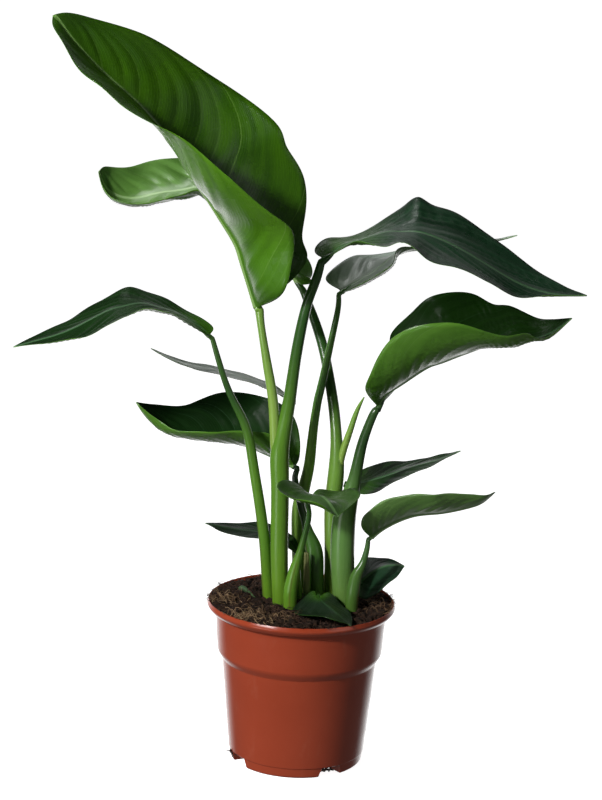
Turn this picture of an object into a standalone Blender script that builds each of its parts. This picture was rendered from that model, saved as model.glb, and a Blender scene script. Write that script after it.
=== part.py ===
"""Young giant white bird of paradise growing in a stepped plastic nursery pot.

The plant has fifteen leaves in three clumps. A leaf is a stalk and a blade. The blade is a thin
boat-shaped sheet, lofted between its midrib and its two margins, with the midrib standing out as
a ridge on its underside. The pot is a turned shell with a rolled lip, a stepped collar and four
drain channels in its foot. Lengths are in metres; the tables of leaf points are in millimetres.
"""

import math

import bmesh
import bpy
import numpy as np
from mathutils import Matrix

MM = 0.001
GAP = 0.3 * MM

# Pot
POT_HEIGHT = 148 * MM
RIM_RADIUS = 85 * MM
COLLAR_TOP_RADIUS = 76.6 * MM
COLLAR_FOOT_RADIUS = 74.4 * MM
BODY_TOP_RADIUS = 69.8 * MM
FOOT_RADIUS = 60 * MM
COLLAR_FOOT_HEIGHT = 102.5 * MM
BODY_TOP_HEIGHT = 94.5 * MM
LIP_UNDERSIDE = 139.5 * MM
WALL = 1.8 * MM
FLOOR = 2.4 * MM
POT_SIDES = 48

# Drain channels: wedge-shaped recesses under the floor that open through the foot of the wall
CHANNEL_COUNT = 4
FIRST_CHANNEL_ANGLE = math.radians(-58)
CHANNEL_INNER_RADIUS = 34 * MM
CHANNEL_INNER_HALF_WIDTH = 9 * MM
CHANNEL_SPREAD = 0.13
CHANNEL_SIDE_SLOPE = 0.35
CHANNEL_HEIGHT = 9 * MM
CHANNEL_ROOF = 2 * MM
DRAIN_HOLE_RADIUS = 4.5 * MM
DRAIN_HOLE_DISTANCE = 48 * MM

# Soil
SOIL_LEVEL = 146.5 * MM
SOIL_RIM_LEVEL = 146.2 * MM
SOIL_RADIUS = 81.9 * MM
SOIL_LUMPS = 1.0 * MM
ROOT_HEIGHT = 110 * MM

# Blades
BLADE_THICKNESS = 0.9 * MM
NECK_HALF_WIDTH = 2.4 * MM
TIP_HALF_WIDTH = 0.7 * MM
RIDGE_AT_NECK = 2.4 * MM
RIDGE_AT_TIP = 0.5 * MM
RIDGE_HALF_WIDTH = 2.2 * MM
CUP_CHANGE_START = 0.46
CUP_CHANGE_END = 0.64

# Stalks
STALK_END = 4 * MM
STALK_END_TAPER = 0.85

# Each leaf in millimetres. A stalk point is x, y, z and the stalk's radius there, from the soil
# up. The midrib runs from the neck to the tip. The margins have one point for each midrib point
# between those two, seen from above with the tip pointing away. The cup is how far each half
# bows outward at the base and at the tip, as a share of its width.
LEAVES = {
    "leaf_01": {
        "stalk": [(-24, -14, 244, 4.5), (-25, -14, 271, 4.6), (-28, -14, 294, 4.7),
                  (-31, -11, 329, 4.5), (-37, -5, 360, 4.3), (-44, 4, 393, 3.7)],
        "midrib": [(-48, 10, 413), (-56, 12, 436), (-63, 14, 455), (-69, 14, 470), (-82, 12, 490),
                   (-92, 10, 505), (-103, 8, 520), (-111, 5, 532), (-127, 0, 556), (-143, -5, 575),
                   (-158, -10, 591), (-175, -15, 606), (-192, -20, 622), (-212, -26, 644),
                   (-222, -29, 658), (-227, -30, 663)],
        "left": [(-29, -31, 437), (-18, -38, 462), (-18, -43, 479), (-23, -51, 495), (-42, -63, 510),
                 (-63, -75, 529), (-78, -80, 543), (-106, -85, 564), (-134, -85, 578),
                 (-163, -80, 593), (-183, -73, 609), (-200, -64, 622), (-218, -48, 643),
                 (-227, -36, 655)],
        "right": [(-19, 45, 432), (-6, 54, 452), (-11, 55, 468), (-9, 53, 494), (-13, 48, 527),
                  (-28, 43, 552), (-37, 42, 571), (-71, 47, 596), (-100, 42, 614), (-127, 32, 632),
                  (-153, 19, 646), (-181, 5, 655), (-203, -10, 662), (-217, -22, 665)],
        "cup": (0.13, 0.0),
    },
    "leaf_02": {
        "stalk": [(27, 12, 145, 7), (27, 12, 173, 7.4), (26, 12, 201, 7.4), (25, 13, 229, 7.5),
                  (26, 15, 251, 7.5), (27, 18, 270, 7), (26, 23, 292, 5.5), (23, 32, 316, 5.2),
                  (18, 42, 341, 5.1), (12, 54, 365, 5), (4, 68, 387, 4.8), (-6, 82, 409, 4)],
        "midrib": [(-12, 85, 420), (-25, 90, 435), (-60, 98, 466), (-99, 100, 501), (-119, 98, 503),
                   (-138, 96, 500), (-155, 93, 496), (-171, 89, 494), (-187, 85, 500), (-194, 82, 511),
                   (-197, 81, 518)],
        "left": [(-4, 74, 429), (-53, 60, 459), (-96, 62, 502), (-116, 58, 504), (-135, 56, 501),
                 (-152, 56, 496), (-169, 58, 494), (-186, 66, 499), (-195, 76, 510)],
        "right": [(-4, 107, 439), (-50, 128, 487), (-96, 125, 527), (-117, 122, 530), (-138, 118, 528),
                  (-156, 113, 525), (-171, 105, 521), (-185, 96, 521), (-193, 86, 522)],
        "cup": (0.14, 0.14),
    },
    "leaf_03": {
        "stalk": [(-29, 2, 146, 6), (-32, -4, 176, 5.4), (-35, -9, 205, 5.1), (-41, -12, 243, 4.8),
                  (-47, -13, 275, 4.5), (-54, -14, 307, 4.2), (-65, -15, 330, 3.6),
                  (-74, -16, 350, 3.1), (-81, -17, 371, 2.8)],
        "midrib": [(-89, -18, 391), (-100, -20, 401), (-118, -24, 412), (-134, -27, 417),
                   (-149, -30, 420), (-164, -33, 417), (-179, -36, 412), (-208, -38, 396),
                   (-235, -34, 385), (-259, -26, 376)],
        "left": [(-96, -35, 398), (-113, -51, 413), (-125, -60, 418), (-139, -66, 421),
                 (-153, -71, 417), (-167, -74, 412), (-193, -67, 395), (-224, -50, 386)],
        "right": [(-88, -10, 399), (-110, 2, 408), (-127, 5, 417), (-144, 6, 424), (-160, 3, 428),
                  (-176, -2, 421), (-206, -9, 403), (-231, -19, 391)],
        "cup": (0.08, 0.08),
    },
    "leaf_04": {
        "stalk": [(-19, -14, 151, 7.2), (-21, -14, 189, 7.9), (-22, -14, 226, 8), (-23, -14, 262, 8.3),
                  (-24, -14, 285, 8.6), (-22, -14, 303, 7.2), (-19, -12, 321, 6.2),
                  (-16, -10, 343, 5.7), (-13, -8, 370, 5.4), (-9, -6, 397, 5.2), (-4, -4, 421, 4.8),
                  (2, -2, 439, 4.5)],
        "midrib": [(9, 0, 459), (16, 1, 466), (27, 1, 473), (39, 0, 478), (61, -4, 486), (73, -7, 487),
                   (86, -10, 488), (99, -13, 486), (121, -18, 478), (152, -24, 462), (180, -28, 448),
                   (209, -30, 441), (236, -30, 441)],
        "left": [(0, 14, 465), (11, 26, 474), (33, 33, 476), (63, 41, 491), (79, 40, 503),
                 (90, 37, 512), (104, 34, 506), (129, 30, 498), (167, 16, 473), (197, -2, 455),
                 (220, -19, 446)],
        "right": [(25, -13, 472), (36, -27, 480), (47, -36, 479), (61, -48, 481), (72, -56, 486),
                  (84, -64, 482), (96, -69, 473), (116, -71, 467), (146, -66, 457), (171, -54, 443),
                  (200, -43, 441)],
        "cup": (0.06, 0.06),
    },
    "leaf_05": {
        "stalk": [(-1, 24, 140, 6.5), (-3, 24, 178, 6.9), (-5, 24, 216, 6.9), (-4, 24, 234, 6.4),
                  (0, 24, 253, 5.4), (3, 25, 272, 4.9), (5, 26, 299, 4.3), (8, 28, 325, 4),
                  (11, 30, 340, 3.9), (18, 34, 379, 3.3), (23, 38, 408, 2.8)],
        "midrib": [(26, 40, 424), (35, 43, 431), (50, 47, 440), (64, 51, 451), (78, 54, 461),
                   (112, 58, 468), (148, 60, 470), (181, 60, 478)],
        "left": [(11, 50, 433), (20, 62, 443), (37, 74, 452), (63, 82, 454), (113, 82, 469),
                 (150, 71, 472)],
        "right": [(34, 18, 431), (56, 12, 446), (69, 15, 457), (75, 25, 467), (106, 38, 465),
                  (146, 50, 468)],
        "cup": (0.12, 0.12),
    },
    "leaf_06": {
        "stalk": [(38, -6, 151, 10), (36, -6, 179, 10.6), (35, -6, 207, 10.8), (36, -6, 230, 10.2),
                  (40, -7, 249, 7.8), (44, -7, 268, 5.8), (48, -8, 292, 5), (53, -9, 311, 4.4),
                  (58, -10, 325, 4)],
        "midrib": [(62, -10, 332), (67, -12, 344), (79, -16, 354), (100, -20, 370), (113, -22, 376),
                   (126, -24, 382), (140, -25, 388), (155, -26, 394), (168, -26, 396), (181, -26, 398),
                   (194, -24, 401), (208, -21, 406), (226, -15, 418)],
        "left": [(72, 16, 345), (73, 24, 367), (70, 19, 390), (87, 8, 413), (104, 1, 430),
                 (132, 5, 434), (149, 5, 429), (161, 4, 424), (175, 4, 423), (196, 2, 414),
                 (210, -3, 414)],
        "right": [(49, -35, 351), (52, -53, 370), (62, -60, 394), (74, -66, 408), (90, -70, 417),
                  (114, -74, 421), (137, -73, 417), (155, -68, 411), (170, -62, 409), (185, -50, 410),
                  (201, -38, 404)],
        "cup": (0.16, 0.16),
    },
    "leaf_07": {
        "stalk": [(13, 0, 148, 7.2), (12, 0, 172, 7.3), (10, 1, 193, 7.6), (5, 3, 207, 5.8),
                  (1, 4, 220, 3.7), (-3, 5, 232, 3.6), (-7, 8, 246, 3.2), (-10, 14, 257, 3)],
        "midrib": [(-11, 18, 267), (-24, 28, 271), (-45, 42, 276), (-72, 48, 284), (-101, 46, 287),
                   (-126, 38, 292), (-143, 28, 303), (-154, 20, 320)],
        "left": [(-21, 7, 287), (-35, -1, 301), (-60, -4, 302), (-88, -3, 302), (-114, 3, 300),
                 (-134, 11, 306)],
        "right": [(-6, 41, 277), (-14, 52, 307), (-43, 67, 319), (-80, 66, 322), (-111, 61, 311),
                  (-136, 39, 314)],
        "cup": (0.14, 0.14),
    },
    "leaf_08": {
        "stalk": [(-16, 24, 139, 3.5), (-19, 48, 170, 3.3), (-22, 66, 203, 3.2), (-23, 84, 246, 3),
                  (-21, 92, 283, 2.8)],
        "midrib": [(-17, 90, 313), (-41, 88, 326), (-69, 84, 335), (-96, 78, 342), (-123, 70, 349),
                   (-145, 60, 362)],
        "left": [(-39, 68, 326), (-65, 56, 337), (-92, 52, 344), (-118, 55, 349)],
        "right": [(-37, 107, 324), (-65, 111, 332), (-93, 104, 338), (-120, 85, 348)],
        "cup": (0.04, 0.04),
    },
    "leaf_10": {
        "stalk": [(41, 25, 141, 5), (40, 30, 178, 4.8), (40, 38, 214, 4), (40, 43, 236, 3.2)],
        "midrib": [(40, 45, 246), (55, 45, 249), (76, 42, 257), (98, 38, 267), (119, 32, 275),
                   (138, 24, 286)],
        "left": [(52, 69, 253), (77, 72, 262), (101, 63, 266), (120, 45, 276)],
        "right": [(51, 22, 243), (70, 13, 251), (91, 15, 263), (113, 20, 273)],
        "cup": (0.06, 0.06),
    },
    "leaf_11": {
        "stalk": [(-10, -26, 150, 6), (-10, -27, 165, 6.1), (-7, -28, 184, 5), (-3, -29, 200, 3.4),
                  (1, -31, 218, 2.7), (4, -34, 236, 2.3)],
        "midrib": [(4, -38, 252), (8, -42, 257), (11, -48, 259), (15, -54, 260), (19, -62, 259),
                   (22, -69, 257), (25, -75, 253), (28, -80, 249)],
        "left": [(11, -22, 257), (23, -14, 255), (36, -17, 257), (45, -32, 261), (48, -50, 259),
                 (39, -68, 256)],
        "right": [(-5, -32, 263), (-19, -45, 270), (-25, -60, 268), (-17, -72, 264), (-3, -84, 265),
                  (13, -91, 262)],
        "cup": (0.12, 0.12),
    },
    "leaf_12": {
        "stalk": [(45, -22, 152, 5.8), (46, -22, 166, 5.9), (48, -21, 178, 5.3), (52, -21, 187, 3.9),
                  (55, -20, 195, 3.1), (57, -20, 205, 2.6)],
        "midrib": [(60, -20, 215), (68, -22, 223), (82, -24, 232), (100, -26, 239), (120, -28, 242),
                   (142, -28, 247), (156, -26, 252), (167, -22, 261)],
        "left": [(62, 1, 225), (75, 7, 235), (94, 9, 240), (114, 4, 243), (138, -5, 248),
                 (155, -14, 252)],
        "right": [(50, -39, 230), (55, -45, 245), (74, -49, 259), (106, -55, 265), (130, -46, 265),
                  (153, -37, 261)],
        "cup": (0.1, 0.1),
    },
    "leaf_13": {
        "stalk": [(46, 10, 143, 3), (47, 12, 149, 2.8)],
        "midrib": [(47, 14, 154), (58, 16, 167), (70, 16, 176), (82, 14, 180), (92, 12, 180)],
        "left": [(52, 37, 174), (63, 42, 178), (78, 29, 181)],
        "right": [(58, -1, 152), (74, -6, 164), (85, 2, 172)],
        "cup": (0.06, 0.06),
    },
    "leaf_14": {
        "stalk": [(14, -18, 146, 3), (14, -19, 152, 2.8)],
        "midrib": [(15, -22, 158), (17, -32, 158), (25, -46, 157), (34, -60, 154), (44, -75, 150)],
        "left": [(25, -18, 161), (34, -27, 156), (44, -48, 151)],
        "right": [(7, -18, 161), (-7, -40, 149), (17, -74, 157)],
        "cup": (0.06, 0.06),
    },
    "leaf_15": {
        "stalk": [(-2, 2, 147, 3.2), (-4, 2, 166, 3), (-5, 3, 179, 2.8)],
        "midrib": [(-6, 4, 190), (-11, 8, 199), (-23, 16, 203), (-42, 20, 205), (-61, 18, 207),
                   (-89, 12, 213)],
        "left": [(-13, -2, 196), (-26, -1, 201), (-43, 2, 203), (-63, 5, 204)],
        "right": [(-7, 11, 201), (-20, 27, 205), (-39, 36, 209), (-62, 31, 209)],
        "cup": (0.06, 0.06),
    },
}

# The youngest leaf is still a rolled spear, and one old leaf base has dried to a stub
SPEAR = [(29, 15, 249, 3.2), (30, 16, 270, 3.2), (34, 14, 290, 3.2), (38, 11, 304, 2.9), (43, 8, 322, 2.2),
         (49, 6, 336, 0.6)]
OLD_BASE = [(4, -12, 146, 2.9), (4, -12, 170, 2.8), (3, -13, 196, 2.2)]

# Stalks whose sheath wraps a younger leaf
SHEATHS = {"leaf_04_stalk": "leaf_01_stalk", "leaf_02_stalk": "leaf_09_spear"}


def clear_scene():
    for old in list(bpy.context.scene.objects):
        bpy.data.objects.remove(old, do_unlink=True)


def new_collection(name):
    collection = bpy.data.collections.new(name)
    bpy.context.scene.collection.children.link(collection)
    return collection


def new_material(name, colour, roughness):
    material = bpy.data.materials.new(name)
    material.use_nodes = True
    shader = material.node_tree.nodes["Principled BSDF"]
    shader.inputs["Base Color"].default_value = (*colour, 1.0)
    shader.inputs["Roughness"].default_value = roughness
    shader.inputs["Metallic"].default_value = 0.0
    return material


def add_object(name, data, collection, material=None):
    thing = bpy.data.objects.new(name, data)
    collection.objects.link(thing)
    if material is not None:
        data.materials.append(material)
    return thing


def hide_guide(thing):
    thing.hide_render = True
    thing.display_type = "WIRE"


def metres(points):
    return np.array([point[:3] for point in points], float) * MM


def smooth_path(points, samples):
    """A natural cubic spline through the points, sampled from the first to the last."""
    knots = np.asarray(points, float)
    count = len(knots)
    system = np.eye(count)
    bend = np.zeros_like(knots)
    for i in range(1, count - 1):
        system[i, i - 1:i + 2] = 1, 4, 1
        bend[i] = 6 * (knots[i - 1] - 2 * knots[i] + knots[i + 1])
    curvature = np.linalg.solve(system, bend)
    place = np.linspace(0, count - 1, samples)
    left = np.minimum(place.astype(int), count - 2)
    after = (place - left)[:, None]
    before = 1 - after
    return (before * knots[left] + after * knots[left + 1]
            + ((before ** 3 - before) * curvature[left] + (after ** 3 - after) * curvature[left + 1]) / 6)


def unit(vectors):
    lengths = np.linalg.norm(vectors, axis=-1, keepdims=True)
    return vectors / np.maximum(lengths, 1e-9)


def neck_heading(leaf):
    """The direction in which the midrib leaves the blade's neck."""
    midrib = smooth_path(metres(leaf["midrib"]), 60)
    return unit(midrib[1] - midrib[0])


def across(vectors, heading):
    """The vectors without their share along the heading."""
    return vectors - np.sum(vectors * heading, axis=-1, keepdims=True) * heading


def margin_points(midrib, side, heading):
    """A margin closed to a narrow neck at the blade's foot and to a point at its tip."""
    neck = midrib[0] + unit(across(side[0] - midrib[1], heading)) * NECK_HALF_WIDTH
    tip = midrib[-1] + unit(side[-1] - midrib[-2]) * TIP_HALF_WIDTH
    return np.vstack([neck, side, tip])


def cup_along(leaf, rows):
    """The cup in each row, which changes over the middle of the blade."""
    base, tip = leaf["cup"]
    share = np.clip((np.linspace(0, 1, rows) - CUP_CHANGE_START) / (CUP_CHANGE_END - CUP_CHANGE_START), 0, 1)
    return base + (tip - base) * share * share * (3 - 2 * share)


def blade_sheet(leaf, rows, columns):
    """Points and upward normals of the blade's middle surface, with the midrib in the middle column."""
    midrib_points = metres(leaf["midrib"])
    midrib = smooth_path(midrib_points, rows)
    heading = unit(np.gradient(midrib, axis=0))
    cup = cup_along(leaf, rows)
    halves = []
    for side, turn in (("left", 1), ("right", -1)):
        margin = smooth_path(margin_points(midrib_points, metres(leaf[side]), neck_heading(leaf)), rows)
        width = margin - midrib
        outward = -turn * unit(np.cross(heading, width))
        reach = np.linalg.norm(width, axis=1)
        first = np.minimum(RIDGE_HALF_WIDTH / reach, 0.45)
        shares = [first + (1 - first) * k / (columns - 1) for k in range(columns)]
        half = [midrib + width * s[:, None] + outward * (cup * reach * 4 * s * (1 - s))[:, None]
                for s in shares]
        halves.append(half)
    lines = halves[0][::-1] + [midrib] + halves[1]
    sheet = np.stack(lines, axis=1)
    sheet[0] = midrib[0] + across(sheet[0] - midrib[0], neck_heading(leaf))
    normals = np.cross(np.gradient(sheet, axis=1), np.gradient(sheet, axis=0))
    normals[0] = across(normals[0], neck_heading(leaf))
    return sheet, unit(normals)


def grid_triangles(rows, columns, offset, flip):
    """Triangles of a grid of points, with diagonals that mirror across the middle column."""
    middle = columns // 2
    for i in range(rows - 1):
        for j in range(columns - 1):
            a = offset + i * columns + j
            b, c, d = a + 1, a + columns + 1, a + columns
            halves = ((a, b, c), (a, c, d)) if j < middle else ((a, b, d), (b, c, d))
            for triangle in halves:
                yield triangle[::-1] if flip else triangle


def add_blade(name, leaf, rows, columns, collection, material):
    sheet, normals = blade_sheet(leaf, rows, columns)
    count = sheet.shape[1]
    ridge = np.zeros((rows, count))
    ridge[:, columns] = np.linspace(RIDGE_AT_NECK, RIDGE_AT_TIP, rows)
    upper = sheet + normals * BLADE_THICKNESS / 2
    lower = sheet - normals * (BLADE_THICKNESS / 2 + ridge)[:, :, None]
    points = np.vstack([upper.reshape(-1, 3), lower.reshape(-1, 3)])
    under = rows * count
    faces = list(grid_triangles(rows, count, 0, False)) + list(grid_triangles(rows, count, under, True))
    border = [j for j in range(count)] + [i * count + count - 1 for i in range(1, rows)]
    border += [(rows - 1) * count + j for j in range(count - 2, -1, -1)]
    border += [i * count for i in range(rows - 2, 0, -1)]
    for a, b in zip(border, border[1:] + border[:1]):
        faces.append((b, a, under + a))
        faces.append((b, under + a, under + b))
    mesh = bpy.data.meshes.new(name)
    mesh.from_pydata([tuple(point) for point in points], [], faces)
    mesh.shade_smooth()
    mesh.set_sharp_from_angle(angle=math.radians(50))
    return add_object(name, mesh, collection, material)


def scaled(points):
    return [tuple(value * MM for value in point) for point in points]


def rooted(points):
    """The same stalk carried straight down into the soil."""
    x, y, _, radius = points[0]
    return [(x, y, ROOT_HEIGHT, radius)] + points


def stalk_path(points):
    return smooth_path(points, max(6, min(16, 2 * len(points) - 2)))


def leaf_stalk_path(leaf):
    """The stalk from its root to just short of the blade's neck, where it ends square to the midrib."""
    points = scaled(leaf["stalk"])
    neck = metres(leaf["midrib"])[0]
    heading = neck_heading(leaf)
    radius = points[-1][3] * STALK_END_TAPER
    points.append((*(neck - heading * STALK_END), radius))
    if points[0][2] < SOIL_LEVEL + 30 * MM:
        points = rooted(points)
    return np.vstack([stalk_path(points), [(*(neck - heading * GAP), radius)]])


def enlarged(path, margin):
    """The path of a socket that clears the stalk all round and at both ends."""
    socket = path.copy()
    socket[:, 3] += margin
    socket[0, :3] += unit(path[0, :3] - path[1, :3]) * margin
    socket[-1, :3] += unit(path[-1, :3] - path[-2, :3]) * margin
    return socket


def add_tube(name, path, collection, material=None):
    """A round stalk whose radius varies along its path."""
    curve = bpy.data.curves.new(name, "CURVE")
    curve.dimensions = "3D"
    curve.fill_mode = "FULL"
    curve.use_fill_caps = True
    curve.bevel_depth = MM
    curve.bevel_resolution = 2
    spline = curve.splines.new("POLY")
    spline.points.add(len(path) - 1)
    for place, (x, y, z, radius) in zip(spline.points, path):
        place.co = (x, y, z, 1.0)
        place.radius = radius / MM
    return add_object(name, curve, collection, material)


def curve_to_mesh(thing, collection):
    """The same tube as a closed mesh, which a Boolean can cut or use."""
    graph = bpy.context.evaluated_depsgraph_get()
    mesh = bpy.data.meshes.new_from_object(thing.evaluated_get(graph))
    shell = bmesh.new()
    shell.from_mesh(mesh)
    bmesh.ops.remove_doubles(shell, verts=shell.verts, dist=1e-6)
    bmesh.ops.recalc_face_normals(shell, faces=shell.faces)
    shell.to_mesh(mesh)
    shell.free()
    name = thing.name
    matrix = thing.matrix_world.copy()
    bpy.data.objects.remove(thing, do_unlink=True)
    solid = add_object(name, mesh, collection)
    solid.matrix_world = matrix
    return solid


def stalk_socket(name, path, guides):
    """A cutter that leaves clear room for a stalk."""
    socket = curve_to_mesh(add_tube(name, enlarged(path, GAP), guides), guides)
    hide_guide(socket)
    return socket


def cut(target, cutter, operation="DIFFERENCE"):
    modifier = target.modifiers.new(cutter.name, "BOOLEAN")
    modifier.operation = operation
    modifier.object = cutter
    modifier.solver = "EXACT"


def turned(name, profile, sides, collection, material=None):
    """A solid of revolution about Z from a profile that runs down its outer side."""
    mesh = bpy.data.meshes.new(name)
    edges = [(i, i + 1) for i in range(len(profile) - 1)]
    mesh.from_pydata([(radius, 0.0, z) for radius, z in profile], edges, [])
    thing = add_object(name, mesh, collection, material)
    screw = thing.modifiers.new("turn", "SCREW")
    screw.axis = "Z"
    screw.steps = sides
    screw.render_steps = sides
    screw.use_merge_vertices = True
    screw.merge_threshold = 0.00001
    return thing


def to_mesh_object(thing, collection, material=None):
    """The object with its modifiers applied."""
    graph = bpy.context.evaluated_depsgraph_get()
    mesh = bpy.data.meshes.new_from_object(thing.evaluated_get(graph))
    name = thing.name
    bpy.data.objects.remove(thing, do_unlink=True)
    mesh.materials.clear()
    return add_object(name, mesh, collection, material)


def inner_radius(height):
    """Radius of the inside of the pot's wall."""
    heights = (0.0, BODY_TOP_HEIGHT, COLLAR_FOOT_HEIGHT, LIP_UNDERSIDE, POT_HEIGHT)
    radii = (FOOT_RADIUS, BODY_TOP_RADIUS, COLLAR_FOOT_RADIUS, COLLAR_TOP_RADIUS, 79.2 * MM)
    return float(np.interp(height, heights, radii)) - WALL


def pot_profile():
    ledge = [(76.2 * MM, 144 * MM), (82 * MM, 144.4 * MM)]
    lip = [(82.9 * MM, POT_HEIGHT - 0.7 * MM), (83.5 * MM, POT_HEIGHT), (84.4 * MM, POT_HEIGHT),
           (RIM_RADIUS, POT_HEIGHT - 0.9 * MM), (84.4 * MM, 143.4 * MM),
           (81.4 * MM, LIP_UNDERSIDE), (79.8 * MM, LIP_UNDERSIDE),
           (80.2 * MM, 142.3 * MM), (77.8 * MM, 142.2 * MM)]
    outside = [(COLLAR_TOP_RADIUS, 133 * MM), (COLLAR_FOOT_RADIUS, COLLAR_FOOT_HEIGHT), (73.4 * MM, 100 * MM),
               (71.2 * MM, 96.6 * MM), (BODY_TOP_RADIUS, BODY_TOP_HEIGHT), (61.6 * MM, 9.6 * MM),
               (60.7 * MM, 9 * MM), (FOOT_RADIUS, 1.4 * MM), (58.6 * MM, 0.0), (0.0, 0.0)]
    inside = [(0.0, FLOOR), (58.2 * MM, FLOOR), (inner_radius(6 * MM), 6 * MM)]
    inside += [(inner_radius(h), h) for h in (BODY_TOP_HEIGHT, 98.5 * MM, COLLAR_FOOT_HEIGHT, 133 * MM)]
    return ledge + lip + outside + inside + [ledge[0]]


def channel_block(name, angle, margin, bottom, top, collection):
    """A block along a radius, wider outward and downward, larger than the channel by a margin."""
    mesh = bpy.data.meshes.new(name)
    start = CHANNEL_INNER_RADIUS - margin
    end = 72 * MM
    side = margin * math.hypot(1.0, CHANNEL_SPREAD, CHANNEL_SIDE_SLOPE)
    block = bmesh.new()
    bmesh.ops.create_cube(block, size=1.0)
    for vertex in block.verts:
        x = end if vertex.co.x > 0 else start
        z = top if vertex.co.z > 0 else bottom
        half_width = CHANNEL_INNER_HALF_WIDTH + CHANNEL_SPREAD * (x - CHANNEL_INNER_RADIUS) + side
        half_width -= CHANNEL_SIDE_SLOPE * z
        vertex.co = (x, half_width if vertex.co.y > 0 else -half_width, z)
    bmesh.ops.rotate(block, cent=(0, 0, 0), matrix=Matrix.Rotation(angle, 3, "Z"), verts=block.verts)
    block.to_mesh(mesh)
    block.free()
    guide = add_object(name, mesh, collection)
    hide_guide(guide)
    return guide


def cylinder(name, centre, radius, bottom, top, sides, collection):
    mesh = bpy.data.meshes.new(name)
    drum = bmesh.new()
    bmesh.ops.create_cone(drum, cap_ends=True, segments=sides, radius1=radius, radius2=radius,
                          depth=top - bottom)
    bmesh.ops.translate(drum, vec=(*centre, (top + bottom) / 2), verts=drum.verts)
    drum.to_mesh(mesh)
    drum.free()
    guide = add_object(name, mesh, collection)
    hide_guide(guide)
    return guide


def channel_angles():
    return [FIRST_CHANNEL_ANGLE + k * 2 * math.pi / CHANNEL_COUNT for k in range(CHANNEL_COUNT)]


def add_pot(collection, guides):
    material = new_material("terracotta plastic", (0.27, 0.075, 0.035), 0.38)
    pot = turned("pot", pot_profile(), POT_SIDES, collection, material)
    inside_wall = cylinder("inside_wall", (0.0, 0.0), 59.6 * MM, -5 * MM, 30 * MM, POT_SIDES, guides)
    for k, angle in enumerate(channel_angles()):
        roof = channel_block(f"channel_roof_{k}", angle, CHANNEL_ROOF, FLOOR / 2,
                             CHANNEL_HEIGHT + CHANNEL_ROOF, guides)
        cut(roof, inside_wall, "INTERSECT")
        cut(pot, roof, "UNION")
    for k, angle in enumerate(channel_angles()):
        cut(pot, channel_block(f"channel_{k}", angle, 0.0, -5 * MM, CHANNEL_HEIGHT, guides))
        centre = (DRAIN_HOLE_DISTANCE * math.cos(angle), DRAIN_HOLE_DISTANCE * math.sin(angle))
        cut(pot, cylinder(f"drain_hole_{k}", centre, DRAIN_HOLE_RADIUS, 0.0, 20 * MM, 16, guides))
    return pot


def soil_height(x, y):
    """Loose potting soil: a low mound with lumps, heaped a little to the left and back."""
    distance = math.hypot(x, y) / RIM_RADIUS
    mound = SOIL_RIM_LEVEL + (SOIL_LEVEL - SOIL_RIM_LEVEL) * (1 - distance ** 2)
    heap = 2.0 * MM * max(0.0, -0.7 * x + 0.7 * y) / RIM_RADIUS
    lumps = math.sin(190 * x + 1.3) * math.cos(170 * y - 0.4) + 0.6 * math.sin(330 * x - 210 * y)
    return mound + heap + SOIL_LUMPS * lumps / 1.6


def add_soil(collection, guides, stalks):
    material = new_material("potting soil", (0.035, 0.02, 0.013), 0.95)
    rings = [SOIL_RADIUS * share for share in (0.2, 0.4, 0.6, 0.8, 1.0)]
    profile = [(0.0, SOIL_RIM_LEVEL)] + [(radius, SOIL_RIM_LEVEL) for radius in rings]
    profile += [(81.5 * MM, 144.8 * MM), (75.6 * MM, 144.4 * MM)]
    walls = (133 * MM, COLLAR_FOOT_HEIGHT, 98.5 * MM, BODY_TOP_HEIGHT, 6 * MM)
    profile += [(inner_radius(h) - GAP, h) for h in walls]
    profile += [(57.6 * MM, FLOOR + GAP), (0.0, FLOOR + GAP)]
    plain = turned("soil", profile, POT_SIDES, collection)
    soil = to_mesh_object(plain, collection, material)
    for vertex in soil.data.vertices:
        if vertex.co.z > SOIL_RIM_LEVEL - MM:
            vertex.co.z = soil_height(vertex.co.x, vertex.co.y)
    for k, angle in enumerate(channel_angles()):
        cut(soil, channel_block(f"soil_channel_{k}", angle, CHANNEL_ROOF + GAP, -5 * MM,
                                CHANNEL_HEIGHT + CHANNEL_ROOF + GAP, guides))
    for name, path in stalks.items():
        cut(soil, stalk_socket(f"soil_{name}", path, guides))
    return soil


def blade_grid(leaf):
    """Rows and columns per half, finer on a longer blade."""
    steps = np.diff(metres(leaf["midrib"]), axis=0)
    length = np.linalg.norm(steps, axis=1).sum()
    if length > 230 * MM:
        return 19, 4
    if length > 130 * MM:
        return 15, 4
    return 11, 3


def add_plant(collection, guides):
    dark = new_material("leaf blade", (0.03, 0.09, 0.02), 0.35)
    green = new_material("leaf stalk", (0.12, 0.27, 0.05), 0.4)
    tan = new_material("old leaf base", (0.2, 0.17, 0.06), 0.7)
    paths = {}
    for name, leaf in LEAVES.items():
        rows, columns = blade_grid(leaf)
        add_blade(f"{name}_blade", leaf, rows, columns, collection, dark)
        paths[f"{name}_stalk"] = leaf_stalk_path(leaf)
    paths["leaf_09_spear"] = stalk_path(scaled(SPEAR))
    for name, path in paths.items():
        stalk = add_tube(name, path, collection, green)
        if name in SHEATHS:
            stalk = curve_to_mesh(stalk, collection)
            stalk.data.materials.append(green)
            cut(stalk, stalk_socket(f"sheath_{name}", paths[SHEATHS[name]], guides))
    paths["old_leaf_base"] = stalk_path(rooted(scaled(OLD_BASE)))
    add_tube("old_leaf_base", paths["old_leaf_base"], collection, tan)
    return {name: path for name, path in paths.items() if path[0, 2] < SOIL_LEVEL}


def main():
    clear_scene()
    parts = new_collection("potted bird of paradise")
    guides = new_collection("cutters")
    rooted_stalks = add_plant(parts, guides)
    add_pot(parts, guides)
    add_soil(parts, guides, rooted_stalks)


main()
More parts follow.
